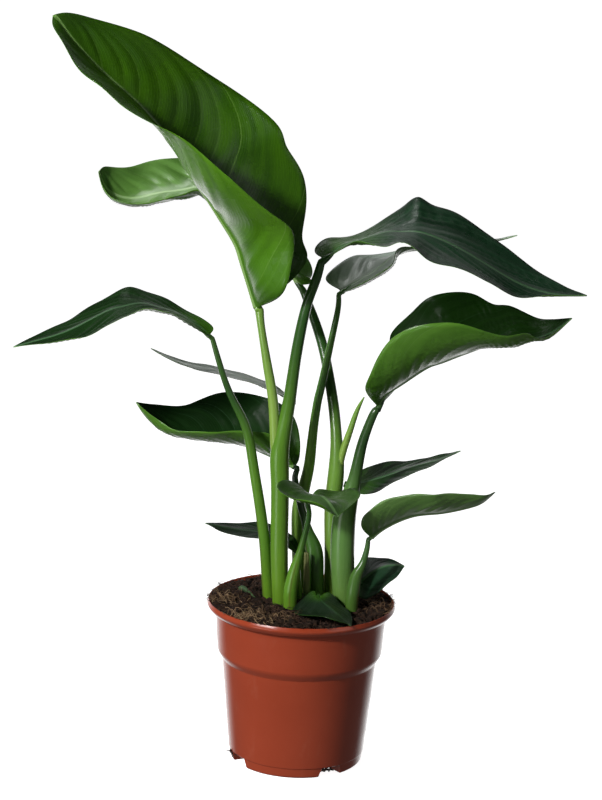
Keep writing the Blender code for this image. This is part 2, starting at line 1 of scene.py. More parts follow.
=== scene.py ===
"""Looks of the potted giant white bird of paradise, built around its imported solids.

Every leaf is rebuilt with its pleats, veins, midrib channel and waved margins. The stalks get
their grooves and sheaths, the pot its rounded lip and steps, and the soil its crumbs and fibres.
Lengths are in metres, or in millimetres in the tables that say so.
"""

import math
import random

import bmesh
import bpy
import numpy as np
from mathutils import Matrix, Vector, noise


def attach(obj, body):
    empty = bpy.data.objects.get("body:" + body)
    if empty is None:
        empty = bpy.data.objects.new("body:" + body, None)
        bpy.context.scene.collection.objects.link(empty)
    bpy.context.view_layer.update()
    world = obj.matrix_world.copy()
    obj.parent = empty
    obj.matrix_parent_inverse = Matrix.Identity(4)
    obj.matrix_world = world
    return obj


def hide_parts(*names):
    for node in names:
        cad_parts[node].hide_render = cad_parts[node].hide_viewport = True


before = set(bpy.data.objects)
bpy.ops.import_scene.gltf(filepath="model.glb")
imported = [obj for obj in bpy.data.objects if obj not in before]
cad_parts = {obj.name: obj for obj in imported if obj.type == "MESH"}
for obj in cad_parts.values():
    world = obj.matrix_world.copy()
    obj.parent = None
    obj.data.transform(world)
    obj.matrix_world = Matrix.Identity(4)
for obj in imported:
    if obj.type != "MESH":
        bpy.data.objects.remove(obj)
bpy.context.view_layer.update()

MM = 0.001
TURN = 2 * math.pi

# Camera: where the photograph was taken from
CAMERA_PLACE = (0.0, -2.0, 0.781)
CAMERA_PITCH = math.radians(12.64)
CAMERA_ROLL = math.radians(2.12)
CAMERA_YAW = math.radians(0.20)
CAMERA_LENS = 104.2
SENSOR = 36.0

# Pot
POT_HEIGHT = 148 * MM
RIM_RADIUS = 85 * MM
COLLAR_TOP_RADIUS = 76.6 * MM
COLLAR_FOOT_RADIUS = 74.4 * MM
BODY_TOP_RADIUS = 69.8 * MM
FOOT_RADIUS = 60 * MM
COLLAR_TOP_HEIGHT = 133 * MM
COLLAR_FOOT_HEIGHT = 102.5 * MM
BODY_TOP_HEIGHT = 94.5 * MM
LIP_UNDERSIDE = 139.5 * MM
WALL = 1.8 * MM
FLOOR = 2.4 * MM
CORNER_RADIUS = 0.8 * MM
CORNER_SHARE = 0.42
POT_SIDES = 160
SHARP_EDGE = math.radians(35)
CHANNEL_COUNT = 4
FIRST_CHANNEL_ANGLE = math.radians(-58)
CHANNEL_INNER_RADIUS = 34 * MM
CHANNEL_OUTER_RADIUS = 72 * MM
CHANNEL_INNER_HALF_WIDTH = 9 * MM
CHANNEL_SPREAD = 0.13
CHANNEL_SIDE_SLOPE = 0.35
CHANNEL_HEIGHT = 9 * MM
CHANNEL_BEVEL = 1.0 * MM
CHANNEL_ROOF = 2 * MM
ROOF_REACH = 59.6 * MM
ROOF_LIMIT = 30 * MM
ROOF_SIDES = 96
DRAIN_HOLE_RADIUS = 4.5 * MM
DRAIN_HOLE_DISTANCE = 48 * MM
DRAIN_HOLE_TOP = 20 * MM
DRAIN_HOLE_SIDES = 32
BELOW_POT = -5 * MM

# Soil
SOIL_LEVEL = 146.5 * MM
SOIL_RIM_LEVEL = 146.2 * MM
SOIL_RADIUS = 82.3 * MM
SOIL_UNDERSIDE = 144.7 * MM
SOIL_UNDERSIDE_SHARE = 0.90
SOIL_RISE_LEFT = 1.6 * MM
SOIL_FALL_BACK = 2.2 * MM
SOIL_RINGS = 70
SOIL_SIDES = 220
CRUMB_COUNT = 2200
SMALLEST_CRUMB = 0.5 * MM
LARGEST_CRUMB = 3.4 * MM
CRUMB_REACH = 0.97
CRUMB_SEED = 3

# The soil's lumps, grains and fines: height, how close they lie, and place in the noise
SOIL_RELIEF = ((2.6 * MM, 55, 0.3), (1.3 * MM, 190, 4.1), (0.6 * MM, 600, 9.7))

# Blades
BLADE_ROWS = 190
BLADE_COLUMNS = 24
COLUMN_CROWDING = 1.5
NECK_SAMPLES = 60
BLADE_THICKNESS = 0.8 * MM
MARGIN_THICKNESS = 0.35 * MM
NECK_HALF_WIDTH = 2.4 * MM
TIP_HALF_WIDTH = 0.5 * MM
RIDGE_AT_NECK = 2.4 * MM
RIDGE_AT_TIP = 0.4 * MM
RIDGE_WIDTH = 1.9 * MM
CHANNEL_DEPTH = 0.9 * MM
CHANNEL_WIDTH = 1.3 * MM
CHANNEL_TAPER = 0.75
CUP_CHANGE_START = 0.46
CUP_CHANGE_END = 0.64
VEIN_SIDE_SHIFT = 0.37
FIRST_VEIN = 20
PLEAT_START = 2 * MM
PLEAT_FULL = 14 * MM

# The two waves in which a vein drifts: height, length, and share of the leaf's seed
VEIN_DRIFT = ((2.6 * MM, 17 * MM, 1.0), (1.6 * MM, 7.3 * MM, 2.1))

# Stalks
STALK_SIDES = 22
STALK_SAMPLES = 12
STALK_FOOT = 125 * MM
STALK_ROOTED_BELOW = SOIL_LEVEL + 30 * MM
STALK_END = 4 * MM
STALK_END_TAPER = 0.85
GROOVE_ANGLE = 0.55
GROOVE_START = 0.45
GROOVE_FULL = 0.8
SHEATH_EDGE_ANGLE = 0.5
SHEATH_EDGE_WIDTH = 0.10
SHEATH_EDGE_HEIGHT = 0.07
RIDGE_POWER = 0.6

# How a stalk runs on under the midrib: distance from the neck in millimetres, and radius and
# depth as shares of the stalk's radius at the neck
KEEL = ((0.0, 0.90, 0.15), (3.0, 0.78, 0.3), (6.0, 0.6, 0.4), (10.0, 0.3, 0.35))

# Floor
FLOOR_HOLE = 0.5 * MM
FLAT_RADIUS = 0.7
SWEEP_RADIUS = 3.4
SWEEP_BEND = 0.8
SWEEP_HEIGHT = 4.5
FLOOR_SIDES = 96
PAPER_WHITE = (0.8, 0.8, 0.8)
PAPER_GLOW = 0.95

# Light
LIT_CENTRE = Vector((0.0, 0.0, 0.32))

# Each lamp: degrees round from the front, degrees up, distance, width and height, and power
LAMPS = {
    "key": (-40, 28.7, 2.0, (0.12, 0.12), 27),
    "softbox": (-45, 25, 2.0, (0.8, 0.6), 15),
    "bounce": (-45, -14, 1.6, (0.6, 0.5), 3),
    "fill": (50, 15, 2.0, (1.0, 1.2), 2.5),
    "top_back": (-150, 64, 1.8, (0.5, 0.5), 6),
    "back": (178, 37, 2.2, (1.5, 0.3), 1.4),
}

# How the surroundings' brightness changes with how far up a direction points, and with how far
# back: from, to, and the brightness at each
HEIGHT_GLOW = (0.05, 0.40, 0.9, 0.12)
BACK_GLOW = (0.5, 0.97, 0.12, 1.7)

# Each leaf in millimetres. A stalk point is x, y, z and the stalk's radius there, from the soil
# up. The midrib runs from the neck to the tip. The margins have one point for each midrib point
# between those two, seen from above with the tip pointing away.
LEAF_TITLES = ("stalk", "midrib", "left", "right")
LEAVES = {
    "leaf_01": (
        [(-24, -14, 244, 4.5), (-25, -14, 271, 4.6), (-28, -14, 294, 4.7), (-31, -11, 329, 4.5),
         (-37, -5, 360, 4.3), (-44, 4, 393, 3.7)],
        [(-48, 10, 413), (-56, 12, 436), (-63, 14, 455), (-69, 14, 470), (-82, 12, 490), (-92, 10, 505),
         (-103, 8, 520), (-111, 5, 532), (-127, 0, 556), (-143, -5, 575), (-158, -10, 591), (-175, -15, 606),
         (-192, -20, 622), (-212, -26, 644), (-222, -29, 658), (-227, -30, 663)],
        [(-26, -31, 433), (-20, -38, 458), (-18, -43, 479), (-23, -51, 495), (-42, -63, 510),
         (-63, -75, 529), (-78, -80, 543), (-106, -85, 564), (-134, -85, 578), (-163, -80, 593),
         (-183, -73, 609), (-200, -64, 622), (-218, -48, 643), (-227, -36, 655)],
        [(-19, 45, 432), (-6, 54, 452), (-11, 55, 468), (-9, 53, 494), (-13, 48, 527), (-28, 43, 552),
         (-37, 42, 571), (-71, 47, 596), (-100, 42, 614), (-127, 32, 632), (-153, 19, 646), (-181, 5, 655),
         (-203, -10, 662), (-217, -22, 665)]),
    "leaf_02": (
        [(27, 12, 145, 7), (27, 12, 173, 7.4), (26, 12, 201, 7.4), (25, 13, 229, 7.5), (26, 15, 251, 7.5),
         (27, 18, 270, 7), (26, 23, 292, 5.5), (23, 32, 316, 5.2), (18, 42, 341, 5.1), (12, 54, 365, 5),
         (4, 68, 387, 4.8), (-6, 82, 409, 4)],
        [(-12, 85, 420), (-25, 90, 435), (-60, 98, 466), (-99, 100, 501), (-119, 98, 503), (-138, 96, 500),
         (-155, 93, 496), (-171, 89, 494), (-187, 85, 500), (-194, 82, 511), (-197, 81, 518)],
        [(-4, 74, 429), (-53, 60, 459), (-96, 62, 502), (-116, 58, 504), (-135, 56, 501), (-152, 56, 496),
         (-169, 58, 494), (-186, 66, 499), (-195, 76, 510)],
        [(-4, 107, 439), (-50, 128, 487), (-96, 125, 527), (-117, 122, 530), (-138, 118, 528),
         (-156, 113, 525), (-171, 105, 521), (-185, 96, 521), (-193, 86, 522)]),
    "leaf_03": (
        [(-29, 2, 146, 6), (-32, -4, 176, 5.4), (-35, -9, 205, 5.1), (-41, -12, 243, 4.8),
         (-47, -13, 275, 4.5), (-54, -14, 307, 4.2), (-65, -15, 330, 3.6), (-74, -16, 350, 3.1),
         (-81, -17, 371, 2.8)],
        [(-89, -18, 391), (-100, -20, 401), (-118, -24, 412), (-134, -27, 417), (-149, -30, 420),
         (-164, -33, 417), (-179, -36, 412), (-208, -38, 396), (-235, -34, 385), (-259, -26, 376)],
        [(-96, -35, 398), (-113, -51, 413), (-125, -60, 418), (-139, -66, 421), (-153, -71, 417),
         (-167, -74, 412), (-193, -67, 395), (-224, -50, 386)],
        [(-88, -10, 399), (-110, 2, 408), (-127, 5, 417), (-144, 6, 424), (-160, 3, 428), (-176, -2, 421),
         (-206, -9, 403), (-231, -19, 391)]),
    "leaf_04": (
        [(-19, -14, 151, 7.2), (-21, -14, 189, 7.9), (-22, -14, 226, 8), (-23, -14, 262, 8.3),
         (-24, -14, 285, 8.6), (-22, -14, 303, 7.2), (-19, -12, 321, 6.2), (-16, -10, 343, 5.7),
         (-13, -8, 370, 5.4), (-9, -6, 397, 5.2), (-4, -4, 421, 4.8), (2, -2, 439, 4.5)],
        [(9, 0, 459), (16, 1, 466), (27, 1, 473), (39, 0, 478), (61, -4, 486), (73, -7, 487), (86, -10, 488),
         (99, -13, 486), (121, -18, 478), (152, -24, 462), (180, -28, 448), (209, -30, 441),
         (236, -30, 441)],
        [(0, 14, 465), (11, 26, 474), (33, 33, 476), (63, 41, 491), (79, 40, 503), (90, 37, 512),
         (104, 34, 506), (129, 30, 498), (167, 16, 473), (197, -2, 455), (220, -19, 446)],
        [(25, -13, 472), (36, -27, 480), (47, -36, 479), (61, -48, 481), (72, -56, 486), (84, -64, 482),
         (96, -69, 473), (116, -71, 467), (146, -66, 457), (171, -54, 443), (200, -43, 441)]),
    "leaf_05": (
        [(-1, 24, 140, 6.5), (-3, 24, 178, 6.9), (-5, 24, 216, 6.9), (-4, 24, 234, 6.4), (0, 24, 253, 5.4),
         (3, 25, 272, 4.9), (5, 26, 299, 4.3), (8, 28, 325, 4), (11, 30, 340, 3.9), (18, 34, 379, 3.3),
         (23, 38, 408, 2.8)],
        [(26, 40, 424), (35, 43, 431), (50, 47, 440), (64, 51, 451), (78, 54, 461), (112, 58, 468),
         (148, 60, 470), (181, 60, 478)],
        [(11, 50, 433), (20, 62, 443), (37, 74, 452), (63, 82, 454), (113, 82, 469), (150, 71, 472)],
        [(34, 18, 431), (56, 12, 446), (69, 15, 457), (75, 25, 467), (106, 38, 465), (146, 50, 468)]),
    "leaf_06": (
        [(38, -6, 151, 10), (36, -6, 179, 10.6), (35, -6, 207, 10.8), (36, -6, 230, 10.2),
         (40, -7, 249, 7.8), (44, -7, 268, 5.8), (48, -8, 292, 5), (53, -9, 311, 4.4), (58, -10, 325, 4)],
        [(62, -10, 332), (67, -12, 344), (79, -16, 354), (100, -20, 370), (113, -22, 376), (126, -24, 382),
         (140, -25, 388), (155, -26, 394), (168, -26, 396), (181, -26, 398), (194, -24, 401),
         (208, -21, 406), (226, -15, 418)],
        [(72, 16, 345), (73, 24, 367), (70, 19, 390), (87, 8, 413), (104, 1, 430), (132, 5, 434),
         (149, 5, 429), (161, 4, 424), (175, 4, 423), (196, 2, 414), (210, -3, 414)],
        [(49, -35, 351), (52, -53, 370), (62, -60, 394), (74, -66, 408), (90, -70, 417), (114, -74, 421),
         (137, -73, 417), (155, -68, 411), (170, -62, 409), (185, -50, 410), (201, -38, 404)]),
    "leaf_07": (
        [(13, 0, 148, 7.2), (12, 0, 172, 7.3), (10, 1, 193, 7.6), (5, 3, 207, 5.8), (1, 4, 220, 3.7),
         (-3, 5, 232, 3.6), (-7, 8, 246, 3.2), (-10, 14, 257, 3)],
        [(-11, 18, 267), (-24, 28, 271), (-45, 42, 276), (-72, 48, 284), (-101, 46, 287), (-126, 38, 292),
         (-143, 28, 303), (-154, 20, 320)],
        [(-21, 7, 287), (-35, -1, 301), (-60, -4, 302), (-88, -3, 302), (-114, 3, 300), (-134, 11, 306)],
        [(-6, 41, 277), (-14, 52, 307), (-43, 67, 319), (-80, 66, 322), (-111, 61, 311), (-136, 39, 314)]),
    "leaf_08": (
        [(-16, 24, 139, 3.5), (-19, 48, 170, 3.3), (-22, 66, 203, 3.2), (-23, 84, 246, 3),
         (-21, 92, 283, 2.8)],
        [(-17, 90, 313), (-41, 88, 326), (-69, 84, 335), (-96, 78, 342), (-123, 70, 349), (-145, 60, 362)],
        [(-39, 68, 326), (-65, 56, 337), (-92, 52, 344), (-118, 55, 349)],
        [(-37, 107, 324), (-65, 111, 332), (-93, 104, 338), (-120, 85, 348)]),
    "leaf_10": (
        [(41, 25, 141, 5), (40, 30, 178, 4.8), (40, 38, 214, 4), (40, 43, 236, 3.2)],
        [(40, 45, 246), (55, 45, 249), (76, 42, 257), (98, 38, 267), (119, 32, 275), (138, 24, 286)],
        [(52, 69, 253), (77, 72, 262), (101, 63, 266), (120, 45, 276)],
        [(51, 22, 243), (70, 13, 251), (91, 15, 263), (113, 20, 273)]),
    "leaf_11": (
        [(-10, -26, 150, 6), (-10, -27, 165, 6.1), (-7, -28, 184, 5), (-3, -29, 200, 3.4),
         (1, -31, 218, 2.7), (4, -34, 236, 2.3)],
        [(4, -38, 252), (8, -42, 257), (11, -48, 259), (15, -54, 260), (19, -62, 259), (22, -69, 257),
         (25, -75, 253), (28, -80, 249)],
        [(11, -22, 257), (23, -14, 255), (36, -17, 257), (45, -32, 261), (48, -50, 259), (39, -68, 256)],
        [(-5, -32, 263), (-19, -45, 270), (-25, -60, 268), (-17, -72, 264), (-3, -84, 265), (13, -91, 262)]),
    "leaf_12": (
        [(45, -22, 152, 5.8), (46, -22, 166, 5.9), (48, -21, 178, 5.3), (52, -21, 187, 3.9),
         (55, -20, 195, 3.1), (57, -20, 205, 2.6)],
        [(60, -20, 215), (68, -22, 223), (82, -24, 232), (100, -26, 239), (120, -28, 242), (142, -28, 247),
         (156, -26, 252), (167, -22, 261)],
        [(62, 1, 225), (75, 7, 235), (94, 9, 240), (114, 4, 243), (138, -5, 248), (155, -14, 252)],
        [(50, -39, 230), (55, -45, 245), (74, -49, 259), (106, -55, 265), (130, -46, 265), (153, -37, 261)]),
    "leaf_13": (
        [(46, 10, 143, 3), (47, 12, 149, 2.8)],
        [(47, 14, 154), (58, 16, 167), (70, 16, 176), (82, 14, 180), (92, 12, 180)],
        [(52, 37, 174), (63, 42, 178), (78, 29, 181)],
        [(58, -1, 152), (74, -6, 164), (85, 2, 172)]),
    "leaf_14": (
        [(14, -18, 146, 3), (14, -19, 152, 2.8)],
        [(15, -22, 158), (17, -32, 158), (25, -46, 157), (34, -60, 154), (44, -75, 150)],
        [(25, -18, 161), (34, -27, 156), (44, -48, 151)],
        [(7, -18, 161), (-7, -40, 149), (17, -74, 157)]),
    "leaf_15": (
        [(-2, 2, 147, 3.2), (-4, 2, 166, 3), (-5, 3, 179, 2.8)],
        [(-6, 4, 190), (-11, 8, 199), (-23, 16, 203), (-42, 20, 205), (-61, 18, 207), (-89, 12, 213)],
        [(-13, -2, 196), (-26, -1, 201), (-43, 2, 203), (-63, 5, 204)],
        [(-7, 11, 201), (-20, 27, 205), (-39, 36, 209), (-62, 31, 209)]),
}

# The rolled spear and the dried leaf base, with the same four figures as a stalk point, and the
# direction that each one's groove faces
SPEAR = [(29, 15, 249, 3.2), (30, 16, 270, 3.2), (34, 14, 290, 3.2), (38, 11, 304, 2.9),
         (43, 8, 322, 2.2), (49, 6, 336, 0.6)]
SPEAR_FACING = (0.8, -0.6, 0.0)
OLD_BASE = [(4, -12, 125, 2.9), (4, -12, 146, 2.9), (4, -12, 170, 2.8), (3, -13, 196, 2.2)]
OLD_BASE_FACING = (0.3, -1.0, 0.0)

# How each leaf differs: the tones of its upper and lower face and of its stalk, the height of its
# pleats and the distance between them in millimetres, how far its veins sweep towards the tip as a
# share of the blade's half-width, the number and the height in millimetres of the waves in its
# margins, its sheath as a share of the stalk, how far each half bows outward at the base and at
# the tip as a share of its width, and how many times as thick as usual its midrib is below
LOOK_TITLES = ("upper", "under", "tone", "pleats", "spacing", "sweep", "waves", "wave_height", "sheath",
               "cup", "ridge")
LOOKS = {
    "leaf_01": ("bright", "bright below", "bright stalk", 1.5, 21, 0.35, 2.3, 1.2, 0.0, (0.13, 0.0), 1.7),
    "leaf_02": ("pale", "bright below", "moss green stalk", 1.9, 16, 0.6, 2.2, 1.5, 0.42, (0.14, 0.14), 1.0),
    "leaf_03": ("dusk", "mid below", "green stalk", 1.5, 18, 1.7, 2.4, 1.0, 0.4, (0.08, 0.08), 1.0),
    "leaf_04": ("dark", "mid below", "green stalk", 1.5, 24, 2.2, 2.3, 1.0, 0.45, (0.06, 0.06), 1.0),
    "leaf_05": ("silver", "mid below", "lime stalk", 1.1, 14, 0.8, 2.0, 1.0, 0.4, (0.12, 0.12), 1.0),
    "leaf_06": ("night", "mid below", "grey green stalk", 1.3, 13, 0.8, 2.5, 1.0, 0.5, (0.16, 0.16), 1.0),
    "leaf_07": ("dusk", "mid below", "dark stalk", 1.1, 13, 0.7, 2.0, 1.2, 0.5, (0.14, 0.14), 1.0),
    "leaf_08": ("mist", "mid below", "green stalk", 0.9, 12, 0.9, 1.8, 0.8, 0.0, (0.04, 0.04), 1.0),
    "leaf_10": ("dusk", "dark below", "green stalk", 0.9, 12, 0.9, 1.8, 0.8, 0.0, (0.06, 0.06), 1.0),
    "leaf_11": ("mid", "mid below", "green stalk", 1.0, 12, 0.9, 1.5, 0.8, 0.5, (0.12, 0.12), 1.0),
    "leaf_12": ("mid", "pale", "sage green stalk", 1.0, 11, 0.8, 2.6, 1.1, 0.5, (0.1, 0.1), 1.0),
    "leaf_13": ("dark", "dark below", "green stalk", 0.8, 10, 0.8, 1.5, 0.7, 0.0, (0.06, 0.06), 1.0),
    "leaf_14": ("slate", "dark below", "green stalk", 0.8, 10, 0.8, 1.5, 0.7, 0.0, (0.06, 0.06), 1.0),
    "leaf_15": ("slate", "dark below", "green stalk", 0.8, 10, 0.8, 1.5, 0.6, 0.0, (0.06, 0.06), 1.0),
}

# Each leaf tone: the deep and the fresh green, the vein lines, the midrib, the gloss and the
# roughness. The greens were set leaf by leaf to how light or dark each leaf looks where it stands,
# so besides the leaves' own colour they hold painted light and shade.
LEAF_TONES = {
    # pale: a green lighter than a leaf's own, which partly paints light on the faces that use it
    "pale": ((0.07, 0.17, 0.026), (0.14, 0.3, 0.06), (0.24, 0.42, 0.12), (0.34, 0.52, 0.22), 0.9, 0.34),
    "bright": ((0.02, 0.076, 0.001), (0.048, 0.145, 0.003), (0.15, 0.3, 0.05), (0.2, 0.38, 0.09), 0.36, 0.3),
    "mid": ((0.02, 0.062, 0.006), (0.036, 0.105, 0.011), (0.08, 0.19, 0.05), (0.16, 0.32, 0.1), 0.5, 0.34),
    # The dark, night, dusk, slate and dark below greens are darker than a leaf's own and partly paint shade
    # on the leaves that use them
    "dark": ((0.003, 0.017, 0.006), (0.013, 0.048, 0.02), (0.05, 0.12, 0.06), (0.06, 0.15, 0.06), 0.32, 0.32),
    "night": ((0.003, 0.014, 0.001), (0.007, 0.027, 0.003), (0.02, 0.06, 0.02), (0.025, 0.08, 0.025),
              0.1, 0.3),
    "dusk": ((0.004, 0.017, 0.003), (0.011, 0.038, 0.008), (0.04, 0.1, 0.045), (0.06, 0.15, 0.06),
             0.07, 0.34),
    "slate": ((0.005, 0.013, 0.005), (0.012, 0.028, 0.012), (0.03, 0.06, 0.03), (0.025, 0.06, 0.025),
              0.2, 0.38),
    # A pale grey-green far from a leaf's own green, which paints the whitish sheen on the face that uses it
    "silver": ((0.27, 0.35, 0.28), (0.45, 0.54, 0.46), (0.3, 0.42, 0.3), (0.36, 0.5, 0.32), 1.0, 0.42),
    # A grey-green paler than a leaf's own, which paints a pale sheen on the face that uses it
    "mist": ((0.07, 0.115, 0.075), (0.16, 0.23, 0.16), (0.2, 0.31, 0.19), (0.24, 0.4, 0.2), 0.8, 0.38),
    "bright below": ((0.055, 0.172, 0.005), (0.098, 0.262, 0.012), (0.24, 0.44, 0.09), (0.3, 0.48, 0.16),
                     0.36, 0.24),
    "mid below": ((0.06, 0.17, 0.014), (0.105, 0.255, 0.028), (0.13, 0.28, 0.06), (0.24, 0.42, 0.15),
                  0.3, 0.22),
    "dark below": ((0.014, 0.05, 0.006), (0.028, 0.09, 0.01), (0.07, 0.17, 0.05), (0.15, 0.28, 0.1),
                   0.35, 0.32),
}
BASE_GREEN = (0.042, 0.130, 0.008)

# How far the midrib's colour reaches on each side before it fades, in millimetres, on an upper
# and on a lower face
RIB_REACH = 0.9
RIB_REACH_BELOW = 2.0
RIB_FADE = 1.3
STREAK_PLACE = 0.37

# Each stalk tone: the colour of its lower and of its upper part, and the roughness. The colours
# were set stalk by stalk to how light or dark each stalk looks where it stands, so besides the
# stalks' own colour they hold some painted light and shade.
STALK_TONES = {
    "green stalk": ((0.11, 0.265, 0.022), (0.020, 0.072, 0.013), 0.25),
    "bright stalk": ((0.25, 0.40, 0.07), (0.16, 0.32, 0.045), 0.25),
    "moss green stalk": ((0.16, 0.32, 0.045), (0.018, 0.072, 0.014), 0.25),
    "grey green stalk": ((0.12, 0.26, 0.060), (0.013, 0.045, 0.010), 0.25),
    "lime stalk": ((0.17, 0.33, 0.045), (0.075, 0.21, 0.04), 0.25),
    "dark stalk": ((0.05, 0.14, 0.02), (0.01, 0.04, 0.01), 0.25),
    "sage green stalk": ((0.070, 0.165, 0.028), (0.045, 0.120, 0.028), 0.25),
    "old leaf base": ((0.12, 0.20, 0.03), (0.15, 0.15, 0.05), 0.7),
}
FOOT_TINT = (1.25, 1.05, 0.9)
SHEATH_BROWN = (0.09, 0.045, 0.02)

# Colours of the pot, the soil and what lies on it. The soils have a dark and a light one, and
# the scale of their grains.
PLASTIC = ((0.335, 0.050, 0.019), (0.385, 0.061, 0.025))
DUST = (0.50, 0.2, 0.13)
SPECKS = (0.12, 0.05, 0.03)
PEAT = ((0.007, 0.003, 0.002), (0.032, 0.014, 0.008), 240.0)
CRUMBS = ((0.008, 0.004, 0.002), (0.050, 0.024, 0.013), 300.0)
WILTED_GREEN = (0.050, 0.110, 0.034)
WET_PEAT = (0.022, 0.012, 0.008)

# Tufts of coir: where they lie in millimetres, how many threads, how far they spread, how long,
# how thick and how high they are in millimetres, the seed of the draw and the colour
FIBRES = {
    "pale": (((-49, -51), (-42, -60), (-34, -60), (-26, -56), (-69, -4), (-61, -9)),
             90, 5.0, 22, 0.22, 9, 5, (0.42, 0.27, 0.14)),
    "tan": (((-49, -51), (-34, -60), (-18, -48), (-69, -4), (-60, -9), (62, 7), (71, -7), (77, 14),
             (66, -16)), 240, 7.5, 24, 0.20, 8, 6, (0.20, 0.115, 0.055)),
    "dark": (((0, 0), (-40, 30), (-66, 34), (40, 30), (-20, -50), (20, -60), (-76, 12), (70, 20)),
             620, 22.0, 22, 0.21, 6, 8, (0.075, 0.034, 0.018)),
}
THREAD_FACING = (0.3, 0.2, 1.0)
FIBRE_REACH = 86 * MM
FIBRE_STEPS = 12
FIBRE_CURL = 260
FIBRE_LIFT = 0.2 * MM
FEWEST_STEPS = 5

# The scrap of leaf in millimetres: its middle line, the last figure above the soil, and its
# radius at shares of its length
SCRAP = ((-57, 19, 3.0), (-53, 17, 3.6), (-49, 13, 2.6), (-42, 0, 1.4))
SCRAP_SHARES = (0, 0.15, 0.5, 0.8, 1)
SCRAP_RADII = (1.4, 2.6, 2.4, 1.2, 0.4)
SCRAP_SAMPLES = 16

# Roots at the drain channels: degrees round from the front, distance from the axis and height
OUTLET_ROOTS = ((30, 59.5 * MM, 7.6 * MM), (-73, 61 * MM, 7.5 * MM))
ROOTS_EACH = 14
ROOT_STEPS = 5
ROOT_STEP = 0.9
ROOT_SEED = 12


# Small helpers

def as_metres(points):
    return np.array(points, float) * MM


def unit(vectors):
    lengths = np.linalg.norm(vectors, axis=-1, keepdims=True)
    return vectors / np.maximum(lengths, 1e-9)


def across(vectors, heading):
    """The vectors without their share along the heading."""
    return vectors - np.sum(vectors * heading, axis=-1, keepdims=True) * heading


def smooth_step(low, high, values):
    share = np.clip((values - low) / (high - low), 0, 1)
    return share * share * (3 - 2 * share)


def smooth_path(points, samples):
    """A natural cubic spline through the points, sampled from the first to the last."""
    knots = np.asarray(points, float)
    count = len(knots)
    system = np.eye(count)
    bend = np.zeros_like(knots)
    for i in range(1, count - 1):
        system[i, i - 1:i + 2] = 1, 4, 1
        bend[i] = 6 * (knots[i - 1] - 2 * knots[i] + knots[i + 1])
    curvature = np.linalg.solve(system, bend)
    place = np.linspace(0, count - 1, samples)
    left = np.minimum(place.astype(int), count - 2)
    after = (place - left)[:, None]
    before = 1 - after
    return (before * knots[left] + after * knots[left + 1]
            + ((before ** 3 - before) * curvature[left] + (after ** 3 - after) * curvature[left + 1]) / 6)


def distances(path):
    """How far along the path each of its points lies."""
    return np.append(0.0, np.cumsum(np.linalg.norm(np.diff(path, axis=0), axis=1)))


def tube_points(spots, radii, angles, toward):
    """Rings of points round the spots, with angles that count from the direction toward."""
    tangents = unit(np.gradient(spots, axis=0))
    front = unit(across(np.array(toward), tangents))
    side = np.cross(tangents, front)
    ring = np.cos(angles)[:, :, None] * front[:, None] + np.sin(angles)[:, :, None] * side[:, None]
    return (spots[:, None] + radii[:, :, None] * ring).reshape(-1, 3)


def tube_faces(rings, sides):
    """The faces between rings of points that follow one another."""
    faces = []
    for i in range(rings - 1):
        for j in range(sides):
            a = i * sides + j
            b = i * sides + (j + 1) % sides
            faces.append((a, b, b + sides, a + sides))
    return faces


def circle(radius, sides):
    """Pairs of x and y round the Z axis."""
    angles = [TURN * j / sides for j in range(sides)]
    return [(radius * math.cos(angle), radius * math.sin(angle)) for angle in angles]


def new_object(name, data):
    thing = bpy.data.objects.new(name, data)
    bpy.context.scene.collection.objects.link(thing)
    return thing


def piece_from(name, points, faces, materials, face_slots=None, values=None):
    """A smooth-shaded object from points and faces, with one number per point for each named value."""
    mesh = bpy.data.meshes.new(name)
    mesh.from_pydata([tuple(point) for point in points], [], [tuple(face) for face in faces])
    for material in materials:
        mesh.materials.append(material)
    if face_slots is not None:
        mesh.polygons.foreach_set("material_index", np.asarray(face_slots, np.int32))
    for title, numbers in (values or {}).items():
        layer = mesh.attributes.new(title, "FLOAT", "POINT")
        layer.data.foreach_set("value", np.asarray(numbers, np.float32).ravel())
    mesh.shade_smooth()
    return new_object(name, mesh)


def place_piece(piece, slot, *nodes):
    """Fixes a piece to the plant and hides the solids that it stands for."""
    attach(piece, "root")
    if nodes:
        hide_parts(*nodes)


# Materials

